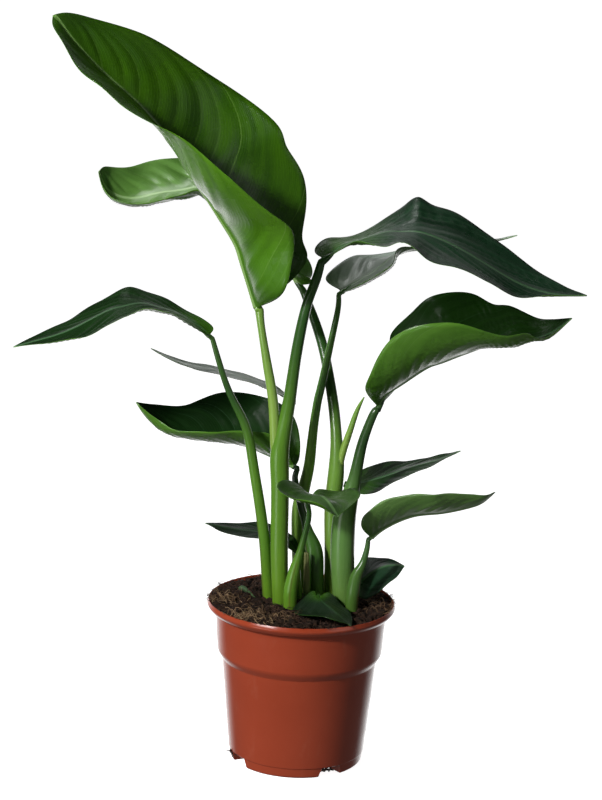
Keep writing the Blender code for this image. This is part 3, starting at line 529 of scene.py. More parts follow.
class Nodes:
    """The node tree of a material or a world, with short calls for the nodes that this scene uses."""

    def __init__(self, owner):
        owner.use_nodes = True
        self.owner = owner
        self.tree = owner.node_tree

    def node(self, kind):
        return self.tree.nodes.new(kind)

    def link(self, source, target):
        self.tree.links.new(source, target)

    def feed(self, socket, value):
        """Links the socket to another one, or sets a number or a colour on the socket itself."""
        if isinstance(value, bpy.types.NodeSocket):
            self.link(value, socket)
        elif isinstance(value, tuple):
            socket.default_value = (*value, 1.0)
        else:
            socket.default_value = value

    def maths(self, operation, first, second=0.0):
        step = self.node("ShaderNodeMath")
        step.operation = operation
        self.feed(step.inputs[0], first)
        self.feed(step.inputs[1], second)
        return step.outputs[0]

    def value_of(self, name):
        reader = self.node("ShaderNodeAttribute")
        reader.attribute_name = name
        return reader.outputs["Fac"]

    def coordinates(self, scale=(1, 1, 1)):
        place = self.node("ShaderNodeTexCoord")
        mapping = self.node("ShaderNodeMapping")
        self.link(place.outputs["Object"], mapping.inputs["Vector"])
        mapping.inputs["Scale"].default_value = scale
        return mapping.outputs["Vector"]

    def noise(self, scale, detail=3.0, roughness=0.55, vector=None):
        texture = self.node("ShaderNodeTexNoise")
        self.link(vector or self.coordinates(), texture.inputs["Vector"])
        texture.inputs["Scale"].default_value = scale
        texture.inputs["Detail"].default_value = detail
        texture.inputs["Roughness"].default_value = roughness
        return texture.outputs["Fac"]

    def streaks(self, vein, vein_scale, away, away_scale, detail, roughness):
        """Noise that runs along the veins, so that clouds of tone stretch with them."""
        join = self.node("ShaderNodeCombineXYZ")
        self.feed(join.inputs[0], self.maths("MULTIPLY", vein, vein_scale))
        self.feed(join.inputs[1], self.maths("DIVIDE", away, away_scale))
        self.feed(join.inputs[2], STREAK_PLACE)
        return self.noise(1.0, detail, roughness, join.outputs[0])

    def ramp(self, value, low, high, bottom=0.0, top=1.0):
        """The value spread from low..high to bottom..top, eased at both ends."""
        step = self.node("ShaderNodeMapRange")
        step.interpolation_type = "SMOOTHSTEP"
        self.feed(step.inputs["Value"], value)
        for title, number in (("From Min", low), ("From Max", high), ("To Min", bottom), ("To Max", top)):
            step.inputs[title].default_value = number
        return step.outputs["Result"]

    def paint(self, colour, *layers):
        """The colour with layers over it, each a share and the colour that it mixes in."""
        for share, over in layers:
            step = self.node("ShaderNodeMix")
            step.data_type = "RGBA"
            self.feed(step.inputs["Factor"], share)
            self.feed(step.inputs["A"], colour)
            self.feed(step.inputs["B"], over)
            colour = step.outputs["Result"]
        return colour

    def bump(self, height, distance, strength, under=None):
        step = self.node("ShaderNodeBump")
        step.inputs["Strength"].default_value = strength
        step.inputs["Distance"].default_value = distance
        self.link(height, step.inputs["Height"])
        if under is not None:
            self.link(under, step.inputs["Normal"])
        return step.outputs["Normal"]

    def stripe(self, phase, times, width):
        """1 on thin lines, one for each whole number that the phase times a count passes."""
        turns = self.maths("FRACT", self.maths("MULTIPLY", phase, times))
        distance = self.maths("ABSOLUTE", self.maths("SUBTRACT", turns, 0.5))
        return self.ramp(distance, 0.5 - width, 0.5)

    def surface(self, colour, roughness, gloss, normal=None):
        """Sets the material's surface and returns the material."""
        inputs = self.tree.nodes["Principled BSDF"].inputs
        self.feed(inputs["Base Color"], colour)
        self.feed(inputs["Roughness"], roughness)
        self.feed(inputs["Specular IOR Level"], gloss)
        if normal is not None:
            self.link(normal, inputs["Normal"])
        return self.owner


def new_shader(name):
    return Nodes(bpy.data.materials.new(name))


def shade(colour, amount):
    return tuple(channel * amount for channel in colour)


def leaf_material(name, deep, fresh, line, rib, gloss, roughness):
    """A waxy leaf face: cloudy green, thin pale lines along the veins and a pale midrib, with broad
    bands along the veins that are partly painted sheen and painted shade that darkens the tip.
    """
    shader = new_shader(f"{name} leaf")
    vein = shader.value_of("vein")
    away = shader.value_of("rib")
    along = shader.value_of("along")
    cloud = shader.ramp(shader.noise(14.0, 4.0), 0.3, 0.7)
    near_rib = shader.ramp(away, 2.0, 30.0, 0.35, 0.0)
    tone = shader.maths("ADD", shader.maths("MULTIPLY", cloud, 0.5), near_rib)
    # Broad lighter bands along the veins: partly the leaf's own streaky tone, partly painted sheen
    tone_and_sheen_bands = shader.streaks(vein, 1.1, away, 42.0, 2.0, 0.5)
    thin_streaks = shader.streaks(vein, 5.5, away, 27.0, 2.0, 0.6)
    strength = shader.ramp(shader.streaks(vein, 0.9, away, 1200.0, 1.0, 0.5), 0.35, 0.65)
    main_lines = shader.maths("MULTIPLY", shader.stripe(vein, 1.0, 0.05), strength)
    fine_lines = shader.stripe(vein, 7.0, 0.18)
    rib_edge = RIB_REACH_BELOW if name.endswith("below") else RIB_REACH
    colour = shader.paint(
        deep,
        (tone, fresh),
        (shader.ramp(tone_and_sheen_bands, 0.42, 0.68, 0.0, 0.7), fresh),
        (shader.ramp(thin_streaks, 0.45, 0.75, 0.0, 0.35), fresh),
        (shader.maths("MULTIPLY", fine_lines, 0.07), line),
        (shader.maths("MULTIPLY", main_lines, 0.60), line),
        (shader.ramp(along, 0.04, 0.30, 0.8, 0.0), BASE_GREEN),
        # Darker towards the tip: painted shade on the outer part of the blade
        (shader.ramp(along, 0.70, 1.0, 0.0, 0.6), deep),
        (shader.ramp(away, rib_edge, rib_edge + RIB_FADE, 0.85, 0.0), rib))
    shine = shader.ramp(shader.noise(38.0, 3.0), 0.3, 0.75, roughness - 0.05, roughness + 0.08)
    relief = shader.bump(fine_lines, 0.12 * MM, 0.6)
    relief = shader.bump(shader.noise(420.0, 2.0), 0.08 * MM, 0.5, relief)
    return shader.surface(colour, shine, gloss, relief)


def stalk_material(name, base, top, roughness):
    """A smooth fleshy stalk with fine fibres along it and a coloured sheath edge."""
    shader = new_shader(name)
    along = shader.value_of("along")
    edge = shader.value_of("edge")
    foot = tuple(channel * tint for channel, tint in zip(base, FOOT_TINT))
    fibres = shader.noise(1.0, 3.0, 0.6, shader.coordinates((900, 900, 30)))
    colour = shader.paint(
        foot,
        (shader.ramp(along, 0.05, 0.3), base),
        (shader.ramp(along, 0.42, 0.74), top),
        (shader.ramp(shader.noise(16.0, 4.0), 0.3, 0.75, 0.0, 0.4), shade(base, 0.62)),
        (shader.ramp(fibres, 0.45, 0.8, 0.0, 0.28), shade(top, 1.35)),
        (shader.maths("MULTIPLY", edge, 0.8), SHEATH_BROWN))
    return shader.surface(colour, roughness, 0.5, shader.bump(fibres, 0.12 * MM, 0.6))


def pot_material():
    """Moulded terracotta-brown plastic: soft shine, faint flow clouds, fine scuffs and dust."""
    shader = new_shader("terracotta plastic")
    plain, warm = PLASTIC
    dust = shader.noise(1.0, 5.0, 0.65, shader.coordinates((60, 60, 25)))
    colour = shader.paint(
        plain,
        (shader.ramp(shader.noise(9.0, 4.0), 0.3, 0.7), warm),
        (shader.ramp(dust, 0.56, 0.8, 0.0, 0.12), DUST),
        (shader.ramp(shader.noise(900.0, 2.0), 0.7, 0.78, 0.0, 0.35), SPECKS))
    scuffs = shader.ramp(shader.noise(55.0, 6.0, 0.7), 0.35, 0.75, 0.13, 0.26)
    return shader.surface(colour, scuffs, 0.6, shader.bump(shader.noise(260.0, 3.0), 0.06 * MM, 0.5))


def soil_material(name, dark, light, scale):
    shader = new_shader(name)
    grains = shader.noise(scale, 6.0, 0.7)
    colour = shader.paint(dark, (shader.ramp(grains, 0.38, 0.72), light))
    return shader.surface(colour, 0.95, 0.25, shader.bump(grains, 1.2 * MM, 0.9))


def fibre_material(name, colour):
    shader = new_shader(name)
    tone = shader.ramp(shader.noise(120.0, 3.0), 0.3, 0.7)
    mixed = shader.paint(shade(colour, 0.6), (tone, colour))
    return shader.surface(mixed, 0.7, 0.5, shader.bump(shader.noise(900.0, 2.0), 0.1 * MM, 0.6))


# Leaf blades

def neck_heading(leaf):
    """The direction in which the midrib leaves the blade's neck."""
    midrib = smooth_path(as_metres(leaf["midrib"]), NECK_SAMPLES)
    return unit(midrib[1] - midrib[0])


def margin_points(midrib, side, heading):
    """A margin closed to a narrow neck at the blade's foot and to a point at its tip."""
    neck = midrib[0] + unit(across(side[0] - midrib[1], heading)) * NECK_HALF_WIDTH
    tip = midrib[-1] + unit(side[-1] - midrib[-2]) * TIP_HALF_WIDTH
    return np.vstack([neck, side, tip])


def cup_along(leaf):
    """The cup in each row, which changes over the middle of the blade."""
    base, tip = leaf["cup"]
    share = smooth_step(CUP_CHANGE_START, CUP_CHANGE_END, np.linspace(0, 1, BLADE_ROWS))
    return base + (tip - base) * share


def sheet_normals(sheet):
    return unit(np.cross(np.gradient(sheet, axis=1), np.gradient(sheet, axis=0)))


def blade_sheet(leaf):
    """Points and leaf coordinates of the blade's middle surface, and its length.

    The coordinates are the share of the length from the neck, the signed share of the half-width
    from the midrib (left below zero) and the distance from the midrib in metres.
    """
    points = as_metres(leaf["midrib"])
    midrib = smooth_path(points, BLADE_ROWS)
    heading = unit(np.gradient(midrib, axis=0))
    along = distances(midrib)
    length = along[-1]
    shares = np.linspace(0, 1, BLADE_COLUMNS) ** COLUMN_CROWDING
    cup = cup_along(leaf)
    halves = []
    reaches = []
    for side, turn in (("left", 1), ("right", -1)):
        edge = margin_points(points, as_metres(leaf[side]), neck_heading(leaf))
        width = smooth_path(edge, BLADE_ROWS) - midrib
        reach = np.linalg.norm(width, axis=1)
        outward = -turn * unit(np.cross(heading, width))
        bow = (cup * reach)[:, None] * 4 * shares * (1 - shares)
        flat = midrib[:, None] + width[:, None] * shares[:, None]
        halves.append(flat + outward[:, None] * bow[:, :, None])
        reaches.append(reach[:, None] * shares)
    sheet = np.concatenate([halves[0][:, :0:-1], halves[1]], axis=1)
    signed = np.concatenate([-shares[:0:-1], shares])
    distance = np.concatenate([reaches[0][:, :0:-1], reaches[1]], axis=1)
    return sheet, along / length, signed, distance, length


def vein_phase(leaf, along, signed, distance, length):
    """Counts the main veins from the tip's side down: whole numbers lie on a vein."""
    s = np.abs(signed)[None, :]
    sweep = distance.max() * (leaf["sweep"] * s + 0.5 * s ** 3)
    place = along[:, None] * length - sweep
    drift = sum(height * np.sin(place / wave + turn * leaf["seed"]) for height, wave, turn in VEIN_DRIFT)
    side_shift = np.where(signed < 0, VEIN_SIDE_SHIFT, 0.0)[None, :]
    return (place + drift) / (leaf["spacing"] * MM) + side_shift + FIRST_VEIN


def blade_relief(leaf, along, signed, phase, distance):
    """Pleats between the veins, and waves that grow towards the margins."""
    s = np.abs(signed)[None, :]
    t = along[:, None]
    fade = smooth_step(PLEAT_START, PLEAT_FULL, distance) * (1 - 0.9 * smooth_step(0.7, 1.0, s))
    fade = fade * smooth_step(0.0, 0.12, t) * (1 - smooth_step(0.78, 1.0, t))
    pleat = np.abs(np.sin(np.pi * phase)) - 0.6
    minor = np.abs(np.sin(np.pi * phase * 3)) - 0.5
    seed = leaf["seed"]
    uneven = 0.75 + 0.45 * np.sin(1.9 * phase + seed) * np.sin(0.7 * phase + 2 * seed)
    relief = leaf["pleats"] * MM * fade * uneven * (pleat + 0.06 * minor)
    side = np.sign(signed)[None, :]
    wave = np.sin(t * leaf["waves"] * 2 * np.pi + seed + 1.3 * side)
    wave = wave + 0.5 * np.sin(t * leaf["waves"] * 4.6 * np.pi + 3 * seed - side)
    ends = smooth_step(0.0, 0.2, t) * (1 - smooth_step(0.85, 1.0, t))
    return relief + leaf["wave_height"] * MM * s ** 2.5 * wave * ends


def blade_faces(rows, columns):
    """The faces of both sides and of the border between them, and each face's material slot."""
    under = rows * columns
    faces = []
    slots = []
    for i in range(rows - 1):
        for j in range(columns - 1):
            a = i * columns + j
            b, c, d = a + 1, a + columns + 1, a + columns
            faces += [(a, b, c, d), (under + d, under + c, under + b, under + a)]
            slots += [0, 1]
    border = list(range(columns)) + [i * columns + columns - 1 for i in range(1, rows)]
    border += [(rows - 1) * columns + j for j in range(columns - 2, -1, -1)]
    border += [i * columns for i in range(rows - 2, 0, -1)]
    for a, b in zip(border, border[1:] + border[:1]):
        faces.append((b, a, under + a, under + b))
        slots.append(1)
    return faces, slots


def add_blade(name, leaf, upper_material, under_material):
    sheet, along, signed, distance, length = blade_sheet(leaf)
    phase = vein_phase(leaf, along, signed, distance, length)
    relief = blade_relief(leaf, along, signed, phase, distance)
    sheet = sheet + sheet_normals(sheet) * relief[:, :, None]
    normals = sheet_normals(sheet)
    rows, columns = distance.shape
    s = np.abs(signed)[None, :]
    t = along[:, None]
    ridge = leaf["ridge"]
    half = 0.5 * (BLADE_THICKNESS + (MARGIN_THICKNESS - BLADE_THICKNESS) * s)
    channel = CHANNEL_DEPTH * (1 - CHANNEL_TAPER * t) * np.exp(-(distance / CHANNEL_WIDTH) ** 2)
    bell = np.exp(-(distance / (RIDGE_WIDTH * ridge)) ** 2)
    keel = ridge * (RIDGE_AT_NECK + (RIDGE_AT_TIP - RIDGE_AT_NECK) * t) * bell
    upper = sheet + normals * (half - channel)[:, :, None]
    lower = sheet - normals * (half + keel)[:, :, None]
    points = np.vstack([upper.reshape(-1, 3), lower.reshape(-1, 3)])
    faces, slots = blade_faces(rows, columns)
    values = {
        "vein": np.tile(phase.ravel(), 2),
        "rib": np.tile(distance.ravel() / MM, 2),
        "along": np.tile(np.repeat(along, columns), 2),
    }
    blade = piece_from(f"{name}_blade_fine", points, faces, [upper_material, under_material], slots, values)
    place_piece(blade, "leaf_blade", f"{name}_blade")


# Stalks

def stalk_path(leaf):
    """Points and radii of the stalk, from inside the soil to the neck and on under the midrib."""
    points = list(as_metres(leaf["stalk"]))
    midrib = smooth_path(as_metres(leaf["midrib"]), NECK_SAMPLES)
    heading = neck_heading(leaf)
    radius = points[-1][3] * STALK_END_TAPER * leaf["ridge"] ** RIDGE_POWER
    points.append((*(midrib[0] - heading * STALK_END), radius))
    x, y, z, foot = points[0]
    if z < STALK_ROOTED_BELOW:
        points.insert(0, (x, y, STALK_FOOT, foot))
    path = smooth_path(points, STALK_SAMPLES * len(points))
    along = distances(midrib)
    down = unit(across(np.array((0.0, 0.0, -1.0)), heading))
    ends = []
    for reach, width, drop in KEEL:
        spot = np.array([np.interp(reach * MM, along, midrib[:, axis]) for axis in range(3)])
        ends.append([*(spot + down * radius * drop), radius * width])
    return np.vstack([path, ends])


def facing_side(leaf):
    """The direction that the stalk's groove and the sheath's edges face, level with the ground."""
    midrib = as_metres(leaf["midrib"])
    out = midrib[-1] - midrib[0]
    out[2] = 0.0
    return unit(out)


def add_stalk(path, toward, material, node, groove=0.16, sheath=0.0, twist=0.0, slot="leaf_stalk"):
    """A tube along the path with a groove on the side that faces the leaf, and the raised edges of a
    sheath lower down where it has one.
    """
    count = len(path)
    share = np.linspace(0, 1, count)
    angles = np.linspace(0, TURN, STALK_SIDES, endpoint=False)
    turned = angles[None, :] + twist * share[:, None]
    gap = np.abs((angles[None, :] + np.pi) % TURN - np.pi)
    hollow = np.exp(-(gap / GROOVE_ANGLE) ** 2) * smooth_step(GROOVE_START, GROOVE_FULL, share)[:, None]
    below = 1 - smooth_step(sheath - 0.05, sheath + 0.02, share)[:, None]
    edge = np.exp(-((gap - SHEATH_EDGE_ANGLE) / SHEATH_EDGE_WIDTH) ** 2) * below * (sheath > 0)
    radius = path[:, 3][:, None] * (1 - groove * hollow) * (1 + SHEATH_EDGE_HEIGHT * edge)
    points = tube_points(path[:, :3], radius, turned, toward)
    faces = tube_faces(count, STALK_SIDES)
    faces.append(tuple(range(STALK_SIDES))[::-1])
    top = (count - 1) * STALK_SIDES
    faces.append(tuple(range(top, top + STALK_SIDES)))
    values = {
        "along": np.repeat(share, STALK_SIDES),
        "edge": np.broadcast_to(edge, (count, STALK_SIDES)),
    }
    place_piece(piece_from(f"{node}_fine", points, faces, [material], values=values), slot, node)


def add_plant():
    blades = {name: leaf_material(name, *tone) for name, tone in LEAF_TONES.items()}
    stalks = {name: stalk_material(name, *tone) for name, tone in STALK_TONES.items()}
    for k, name in enumerate(LEAVES):
        leaf = dict(zip(LEAF_TITLES + LOOK_TITLES, LEAVES[name] + LOOKS[name]), seed=1.7 * k + 0.4)
        add_blade(name, leaf, blades[leaf["upper"]], blades[leaf["under"]])
        add_stalk(stalk_path(leaf), facing_side(leaf), stalks[leaf["tone"]], f"{name}_stalk",
                  sheath=leaf["sheath"])
    add_stalk(smooth_path(as_metres(SPEAR), 60), SPEAR_FACING, stalks["bright stalk"], "leaf_09_spear",
              groove=0.3, twist=1.5)
    add_stalk(smooth_path(as_metres(OLD_BASE), 40), OLD_BASE_FACING, stalks["old leaf base"],
              "old_leaf_base", groove=0.45, slot="old_leaf_base")


# Pot

def inner_radius(height):
    """Radius of the inside of the pot's wall."""
    heights = (0.0, BODY_TOP_HEIGHT, COLLAR_FOOT_HEIGHT, LIP_UNDERSIDE)
    radii = (FOOT_RADIUS, BODY_TOP_RADIUS, COLLAR_FOOT_RADIUS, COLLAR_TOP_RADIUS)
    return float(np.interp(height, heights, radii)) - WALL


def rounded(profile, radius, steps=4):
    """The profile with each inner corner replaced by a short curve."""
    smooth = [profile[0]]
    for before, corner, after in zip(profile, profile[1:], profile[2:]):
        back = Vector(before) - Vector(corner)
        ahead = Vector(after) - Vector(corner)
        reach = min(radius, CORNER_SHARE * back.length, CORNER_SHARE * ahead.length)
        start = Vector(corner) + back.normalized() * reach
        end = Vector(corner) + ahead.normalized() * reach
        for k in range(steps + 1):
            t = k / steps
            point = (1 - t) ** 2 * start + 2 * t * (1 - t) * Vector(corner) + t ** 2 * end
            smooth.append((point.x, point.y))
    smooth.append(profile[-1])
    return smooth


def pot_profile():
    """Radius and height from the ledge over the lip, down outside, up inside and back to the ledge."""
    ledge = [(76.2 * MM, 144 * MM), (82 * MM, 144.4 * MM)]
    lip = [(82.9 * MM, POT_HEIGHT - 0.7 * MM), (83.3 * MM, POT_HEIGHT), (83.7 * MM, POT_HEIGHT),
           (RIM_RADIUS, POT_HEIGHT - 3.4 * MM), (84.4 * MM, 143 * MM),
           (81.4 * MM, LIP_UNDERSIDE), (79.8 * MM, LIP_UNDERSIDE),
           (80.2 * MM, 142.3 * MM), (77.8 * MM, 142.2 * MM)]
    outside = [(COLLAR_TOP_RADIUS, COLLAR_TOP_HEIGHT), (COLLAR_FOOT_RADIUS, COLLAR_FOOT_HEIGHT),
               (73.4 * MM, 100 * MM), (71.2 * MM, 96.6 * MM), (BODY_TOP_RADIUS, BODY_TOP_HEIGHT),
               (61.6 * MM, 9.6 * MM), (60.7 * MM, 9 * MM), (FOOT_RADIUS, 1.4 * MM), (58.6 * MM, 0.0),
               (0.0, 0.0)]
    inside = [(0.0, FLOOR), (58.2 * MM, FLOOR)]
    inside += [(inner_radius(height), height) for height in
               (6 * MM, BODY_TOP_HEIGHT, 98.5 * MM, COLLAR_FOOT_HEIGHT, COLLAR_TOP_HEIGHT)]
    return rounded(ledge + lip + outside, CORNER_RADIUS) + inside + [ledge[0]]


def object_from(name, shape):
    """An object from a finished bmesh shape, which is freed."""
    mesh = bpy.data.meshes.new(name)
    shape.to_mesh(mesh)
    shape.free()
    return new_object(name, mesh)


def channel_block(angle, margin, bottom, top):
    """A block along a radius, wider outward and downward, larger than the channel by a margin."""
    side = margin * math.hypot(1.0, CHANNEL_SPREAD, CHANNEL_SIDE_SLOPE)
    block = bmesh.new()
    bmesh.ops.create_cube(block, size=1.0)
    for vertex in block.verts:
        x = CHANNEL_OUTER_RADIUS if vertex.co.x > 0 else CHANNEL_INNER_RADIUS - margin
        z = top if vertex.co.z > 0 else bottom
        half_width = CHANNEL_INNER_HALF_WIDTH + CHANNEL_SPREAD * (x - CHANNEL_INNER_RADIUS) + side
        half_width -= CHANNEL_SIDE_SLOPE * z
        vertex.co = (x, half_width if vertex.co.y > 0 else -half_width, z)
    bmesh.ops.bevel(block, geom=block.edges[:], offset=CHANNEL_BEVEL, segments=3, affect="EDGES", profile=0.5)
    bmesh.ops.rotate(block, cent=(0, 0, 0), matrix=Matrix.Rotation(angle, 3, "Z"), verts=block.verts)
    return object_from("channel", block)


def cylinder(centre, radius, bottom, top, sides):
    drum = bmesh.new()
    bmesh.ops.create_cone(drum, cap_ends=True, segments=sides, radius1=radius, radius2=radius,
                          depth=top - bottom)
    bmesh.ops.translate(drum, vec=(*centre, (top + bottom) / 2), verts=drum.verts)
    return object_from("drum", drum)


def cut(target, cutter, operation="DIFFERENCE"):
    """Cuts or joins at once, and removes the cutter."""
    modifier = target.modifiers.new("cut", "BOOLEAN")
    modifier.operation = operation
    modifier.object = cutter
    modifier.solver = "EXACT"
    apply_modifiers(target)
    bpy.data.objects.remove(cutter, do_unlink=True)


def apply_modifiers(thing):
    graph = bpy.context.evaluated_depsgraph_get()
    mesh = bpy.data.meshes.new_from_object(thing.evaluated_get(graph))
    thing.modifiers.clear()
    thing.data = mesh


def add_pot():
    mesh = bpy.data.meshes.new("pot_fine")
    profile = pot_profile()
    edges = [(i, i + 1) for i in range(len(profile) - 1)]
    mesh.from_pydata([(radius, 0.0, height) for radius, height in profile], edges, [])
    pot = new_object("pot_fine", mesh)
    screw = pot.modifiers.new("turn", "SCREW")
    screw.axis = "Z"
    screw.steps = POT_SIDES
    screw.render_steps = POT_SIDES
    screw.use_merge_vertices = True
    screw.merge_threshold = 0.01 * MM
    apply_modifiers(pot)
    angles = [FIRST_CHANNEL_ANGLE + k * TURN / CHANNEL_COUNT for k in range(CHANNEL_COUNT)]
    for angle in angles:
        roof = channel_block(angle, CHANNEL_ROOF, FLOOR / 2, CHANNEL_HEIGHT + CHANNEL_ROOF)
        cut(roof, cylinder((0.0, 0.0), ROOF_REACH, BELOW_POT, ROOF_LIMIT, ROOF_SIDES), "INTERSECT")
        cut(pot, roof, "UNION")
    for angle in angles:
        centre = (DRAIN_HOLE_DISTANCE * math.cos(angle), DRAIN_HOLE_DISTANCE * math.sin(angle))
        cut(pot, channel_block(angle, 0.0, BELOW_POT, CHANNEL_HEIGHT))
        cut(pot, cylinder(centre, DRAIN_HOLE_RADIUS, 0.0, DRAIN_HOLE_TOP, DRAIN_HOLE_SIDES))
    pot.data.materials.clear()
    pot.data.materials.append(pot_material())
    pot.data.shade_smooth()
    pot.data.set_sharp_from_angle(angle=SHARP_EDGE)
    place_piece(pot, "pot_plastic", "pot")


# Soil and what lies on it

def soil_height(x, y):
    """Loose potting soil: a low mound with lumps, heaped a little to the left and lower at the back."""
    distance = math.hypot(x, y) / RIM_RADIUS
    height = SOIL_RIM_LEVEL + (SOIL_LEVEL - SOIL_RIM_LEVEL) * (1 - distance ** 2)
    height += (SOIL_RISE_LEFT * max(0.0, -x) - SOIL_FALL_BACK * max(0.0, y)) / RIM_RADIUS
    for size, closeness, place in SOIL_RELIEF:
        height += size * noise.noise(Vector((closeness * x, closeness * y, place)))
    return height


def ground_height(x, y):
    """The height of what a fibre lies on: the soil, or the pot's lip round it."""
    share = smooth_step(SOIL_RADIUS - MM, SOIL_RADIUS, math.hypot(x, y))
    return soil_height(x, y) * (1 - share) + POT_HEIGHT * share


def add_soil(material):
    points = [(0.0, 0.0, soil_height(0.0, 0.0))]
    for i in range(1, SOIL_RINGS + 1):
        ring = circle(SOIL_RADIUS * i / SOIL_RINGS, SOIL_SIDES)
        points += [(x, y, soil_height(x, y)) for x, y in ring]
    points += [(x * SOIL_UNDERSIDE_SHARE, y * SOIL_UNDERSIDE_SHARE, SOIL_UNDERSIDE)
               for x, y, _ in points[-SOIL_SIDES:]]
    faces = [(0, 1 + j, 1 + (j + 1) % SOIL_SIDES) for j in range(SOIL_SIDES)]
    faces += [(a + 1, d + 1, c + 1, b + 1) for a, b, c, d in tube_faces(SOIL_RINGS + 1, SOIL_SIDES)]
    faces.append(tuple(range(len(points) - SOIL_SIDES, len(points)))[::-1])
    place_piece(piece_from("soil_fine", points, faces, [material]), "soil", "soil")


def add_litter(name, parts, material):
    """One piece on the soil from many small parts, each with its points and faces."""
    faces = []
    total = 0
    for points, part_faces in parts:
        faces += [tuple(index + total for index in face) for face in part_faces]
        total += len(points)
    place_piece(piece_from(name, np.vstack([points for points, _ in parts]), faces, [material]), "soil")


def add_crumbs(material):
    """Lumps of peat, each a small ball pushed out of shape."""
    draw = np.random.default_rng(CRUMB_SEED)
    ball = bmesh.new()
    bmesh.ops.create_icosphere(ball, subdivisions=2, radius=1.0)
    ball_points = np.array([vertex.co for vertex in ball.verts])
    ball_faces = [[vertex.index for vertex in face.verts] for face in ball.faces]
    ball.free()
    parts = []
    for _ in range(CRUMB_COUNT):
        radius = SOIL_RADIUS * CRUMB_REACH * math.sqrt(draw.random())
        place = draw.uniform(0, TURN)
        x, y = radius * math.cos(place), radius * math.sin(place)
        size = SMALLEST_CRUMB + (LARGEST_CRUMB - SMALLEST_CRUMB) * draw.random() ** 2.5
        stretch = draw.uniform((0.7, 0.7, 0.5), (1.5, 1.3, 0.9)) * size
        dents = draw.normal(size=(5, 3)) * 2.2
        bulge = 1 + 0.13 * np.sin(ball_points @ dents.T + draw.uniform(0, 6.28, 5)).sum(axis=1)
        spin = Matrix.Rotation(draw.uniform(0, 6.28), 3, "Z")
        tilt = Matrix.Rotation(draw.uniform(-0.6, 0.6), 3, "X")
        local = (ball_points * bulge[:, None] * stretch) @ np.array(spin @ tilt).T
        parts.append((local + (x, y, soil_height(x, y) + 0.2 * size), ball_faces))
    add_litter("soil_crumbs", parts, material)


def thread(points, radii, sides):
    """A thin tube through the points: its own points and its faces."""
    angles = np.linspace(0, TURN, sides, endpoint=False)[None, :]
    rings = tube_points(np.array(points), np.array(radii)[:, None], angles, THREAD_FACING)
    return rings, tube_faces(len(points), sides)


def add_fibres(name, spots, count, spread, length, radius, height, seed, colour):
    """Dry coir fibres that curl over the soil round each of the spots."""
    draw = random.Random(seed)
    parts = []
    for _ in range(count):
        x, y = draw.choice(spots)
        x = (x + draw.gauss(0, spread)) * MM
        y = (y + draw.gauss(0, spread)) * MM
        if math.hypot(x, y) > FIBRE_REACH:
            continue
        heading = draw.uniform(0, TURN)
        curl = draw.uniform(-1, 1) * FIBRE_CURL
        step = draw.uniform(0.35, 1.0) * length * MM / FIBRE_STEPS
        lift = draw.uniform(0.2, 1.0) ** 2 * height * MM
        phase = draw.uniform(0, 6.28)
        line = []
        for k in range(FIBRE_STEPS):
            t = k / (FIBRE_STEPS - 1)
            if math.hypot(x, y) > FIBRE_REACH:
                break
            arch = lift * math.sin(math.pi * t) * (0.7 + 0.3 * math.sin(phase + 5 * t))
            line.append((x, y, ground_height(x, y) + FIBRE_LIFT + arch))
            heading += curl * step + draw.gauss(0, 0.25)
            x += math.cos(heading) * step
            y += math.sin(heading) * step
        if len(line) >= FEWEST_STEPS:
            thick = radius * MM * draw.uniform(0.5, 1.3)
            parts.append(thread(line, [thick] * len(line), 4))
    add_litter(f"soil_fibres_{name}", parts, fibre_material(f"{name} coir", colour))


def add_scrap(material):
    """A wilted scrap of leaf that lies on the soil."""
    spots = [(x * MM, y * MM, soil_height(x * MM, y * MM) + lift * MM) for x, y, lift in SCRAP]
    radii = np.interp(np.linspace(0, 1, SCRAP_SAMPLES), SCRAP_SHARES, SCRAP_RADII) * MM
    add_litter("leaf_scrap", [thread(smooth_path(spots, SCRAP_SAMPLES), radii, 10)], material)


def add_outlet_roots(material):
    """Short dark roots and peat that hang out of two of the drain channels."""
    draw = random.Random(ROOT_SEED)
    parts = []
    for azimuth, reach, height in OUTLET_ROOTS:
        for _ in range(ROOTS_EACH):
            angle = math.radians(azimuth + draw.gauss(0, 3.0))
            start = (reach * math.sin(angle), -reach * math.cos(angle), height + draw.gauss(0, 0.8 * MM))
            line = [np.array(start)]
            for _ in range(ROOT_STEPS):
                step = np.array([draw.gauss(0, 1), draw.gauss(0, 1), draw.gauss(-0.2, 0.6)])
                line.append(line[-1] + step * ROOT_STEP * MM)
            parts.append(thread(line, [draw.uniform(0.3, 0.9) * MM] * len(line), 5))
    add_litter("outlet_roots", parts, material)


def add_ground():
    peat = soil_material("potting peat", *PEAT)
    crumb = soil_material("peat crumbs", *CRUMBS)
    add_soil(peat)
    add_crumbs(crumb)
    for name, tuft in FIBRES.items():
        add_fibres(name, *tuft)
    add_scrap(fibre_material("wilted leaf", WILTED_GREEN))
    add_outlet_roots(fibre_material("wet peat", WET_PEAT))


# Stage

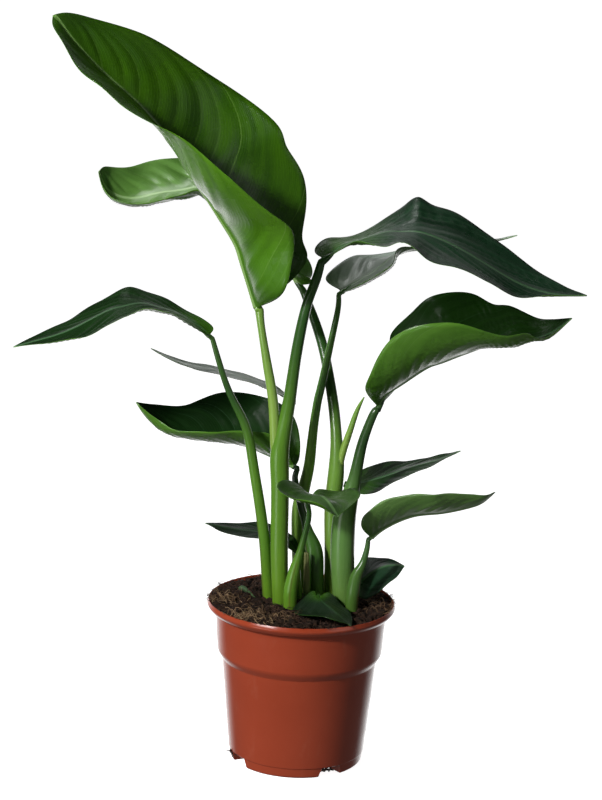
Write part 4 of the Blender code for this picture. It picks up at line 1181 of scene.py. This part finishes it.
def add_stage():
    """A white floor that rises far round the object as a sweep, glows a little and lights nothing."""
    bend = [(SWEEP_RADIUS + SWEEP_BEND * math.sin(a), SWEEP_BEND * (1 - math.cos(a)))
            for a in np.linspace(0.0, math.pi / 2, 12)]
    profile = [(FLOOR_HOLE, 0.0), (FLAT_RADIUS, 0.0)] + bend + [(SWEEP_RADIUS + SWEEP_BEND, SWEEP_HEIGHT)]
    points = [(x, y, height) for radius, height in profile for x, y in circle(radius, FLOOR_SIDES)]
    paper = new_shader("white paper")
    inputs = paper.tree.nodes["Principled BSDF"].inputs
    inputs["Emission Color"].default_value = (1.0, 1.0, 1.0, 1.0)
    inputs["Emission Strength"].default_value = PAPER_GLOW
    material = paper.surface(PAPER_WHITE, 0.9, 0.1)
    floor = piece_from("floor", points, tube_faces(len(profile), FLOOR_SIDES), [material])
    floor.visible_diffuse = False
    floor.visible_glossy = False
    floor.visible_shadow = False


def add_light(name, azimuth, elevation, distance, size, power):
    """A soft box that faces the middle of the plant."""
    data = bpy.data.lights.new(name, "AREA")
    data.shape = "RECTANGLE"
    data.size, data.size_y = size
    data.energy = power
    lamp = new_object(name, data)
    lamp.visible_camera = False
    around, up = math.radians(azimuth), math.radians(elevation)
    away = Vector((math.sin(around) * math.cos(up), -math.cos(around) * math.cos(up), math.sin(up)))
    facing = away.to_track_quat("Z", "Y").to_matrix().to_4x4()
    lamp.matrix_world = Matrix.Translation(LIT_CENTRE + away * distance) @ facing


def add_world():
    """Bright near the horizon and behind the plant, dark overhead and in front."""
    world = bpy.data.worlds.new("studio")
    nodes = Nodes(world)
    split = nodes.node("ShaderNodeSeparateXYZ")
    nodes.link(nodes.node("ShaderNodeTexCoord").outputs["Generated"], split.inputs[0])
    by_height = nodes.ramp(split.outputs["Z"], *HEIGHT_GLOW)
    by_depth = nodes.ramp(split.outputs["Y"], *BACK_GLOW)
    background = nodes.tree.nodes["Background"].inputs
    background["Color"].default_value = (1.0, 1.0, 1.0, 1.0)
    nodes.link(nodes.maths("MULTIPLY", by_height, by_depth), background["Strength"])
    bpy.context.scene.world = world


def light_scene():
    for name, lamp in LAMPS.items():
        add_light(name, *lamp)
    add_world()
    bpy.context.scene.view_settings.view_transform = "Standard"


def add_camera():
    data = bpy.data.cameras.new("camera")
    data.sensor_width = SENSOR
    data.lens = CAMERA_LENS
    camera = new_object("camera", data)
    camera.matrix_world = (Matrix.Translation(CAMERA_PLACE) @ Matrix.Rotation(CAMERA_YAW, 4, "Z")
                           @ Matrix.Rotation(math.pi / 2 - CAMERA_PITCH, 4, "X")
                           @ Matrix.Rotation(CAMERA_ROLL, 4, "Z"))
    bpy.context.scene.camera = camera


add_camera()
add_plant()
add_pot()
add_ground()
add_stage()
light_scene()
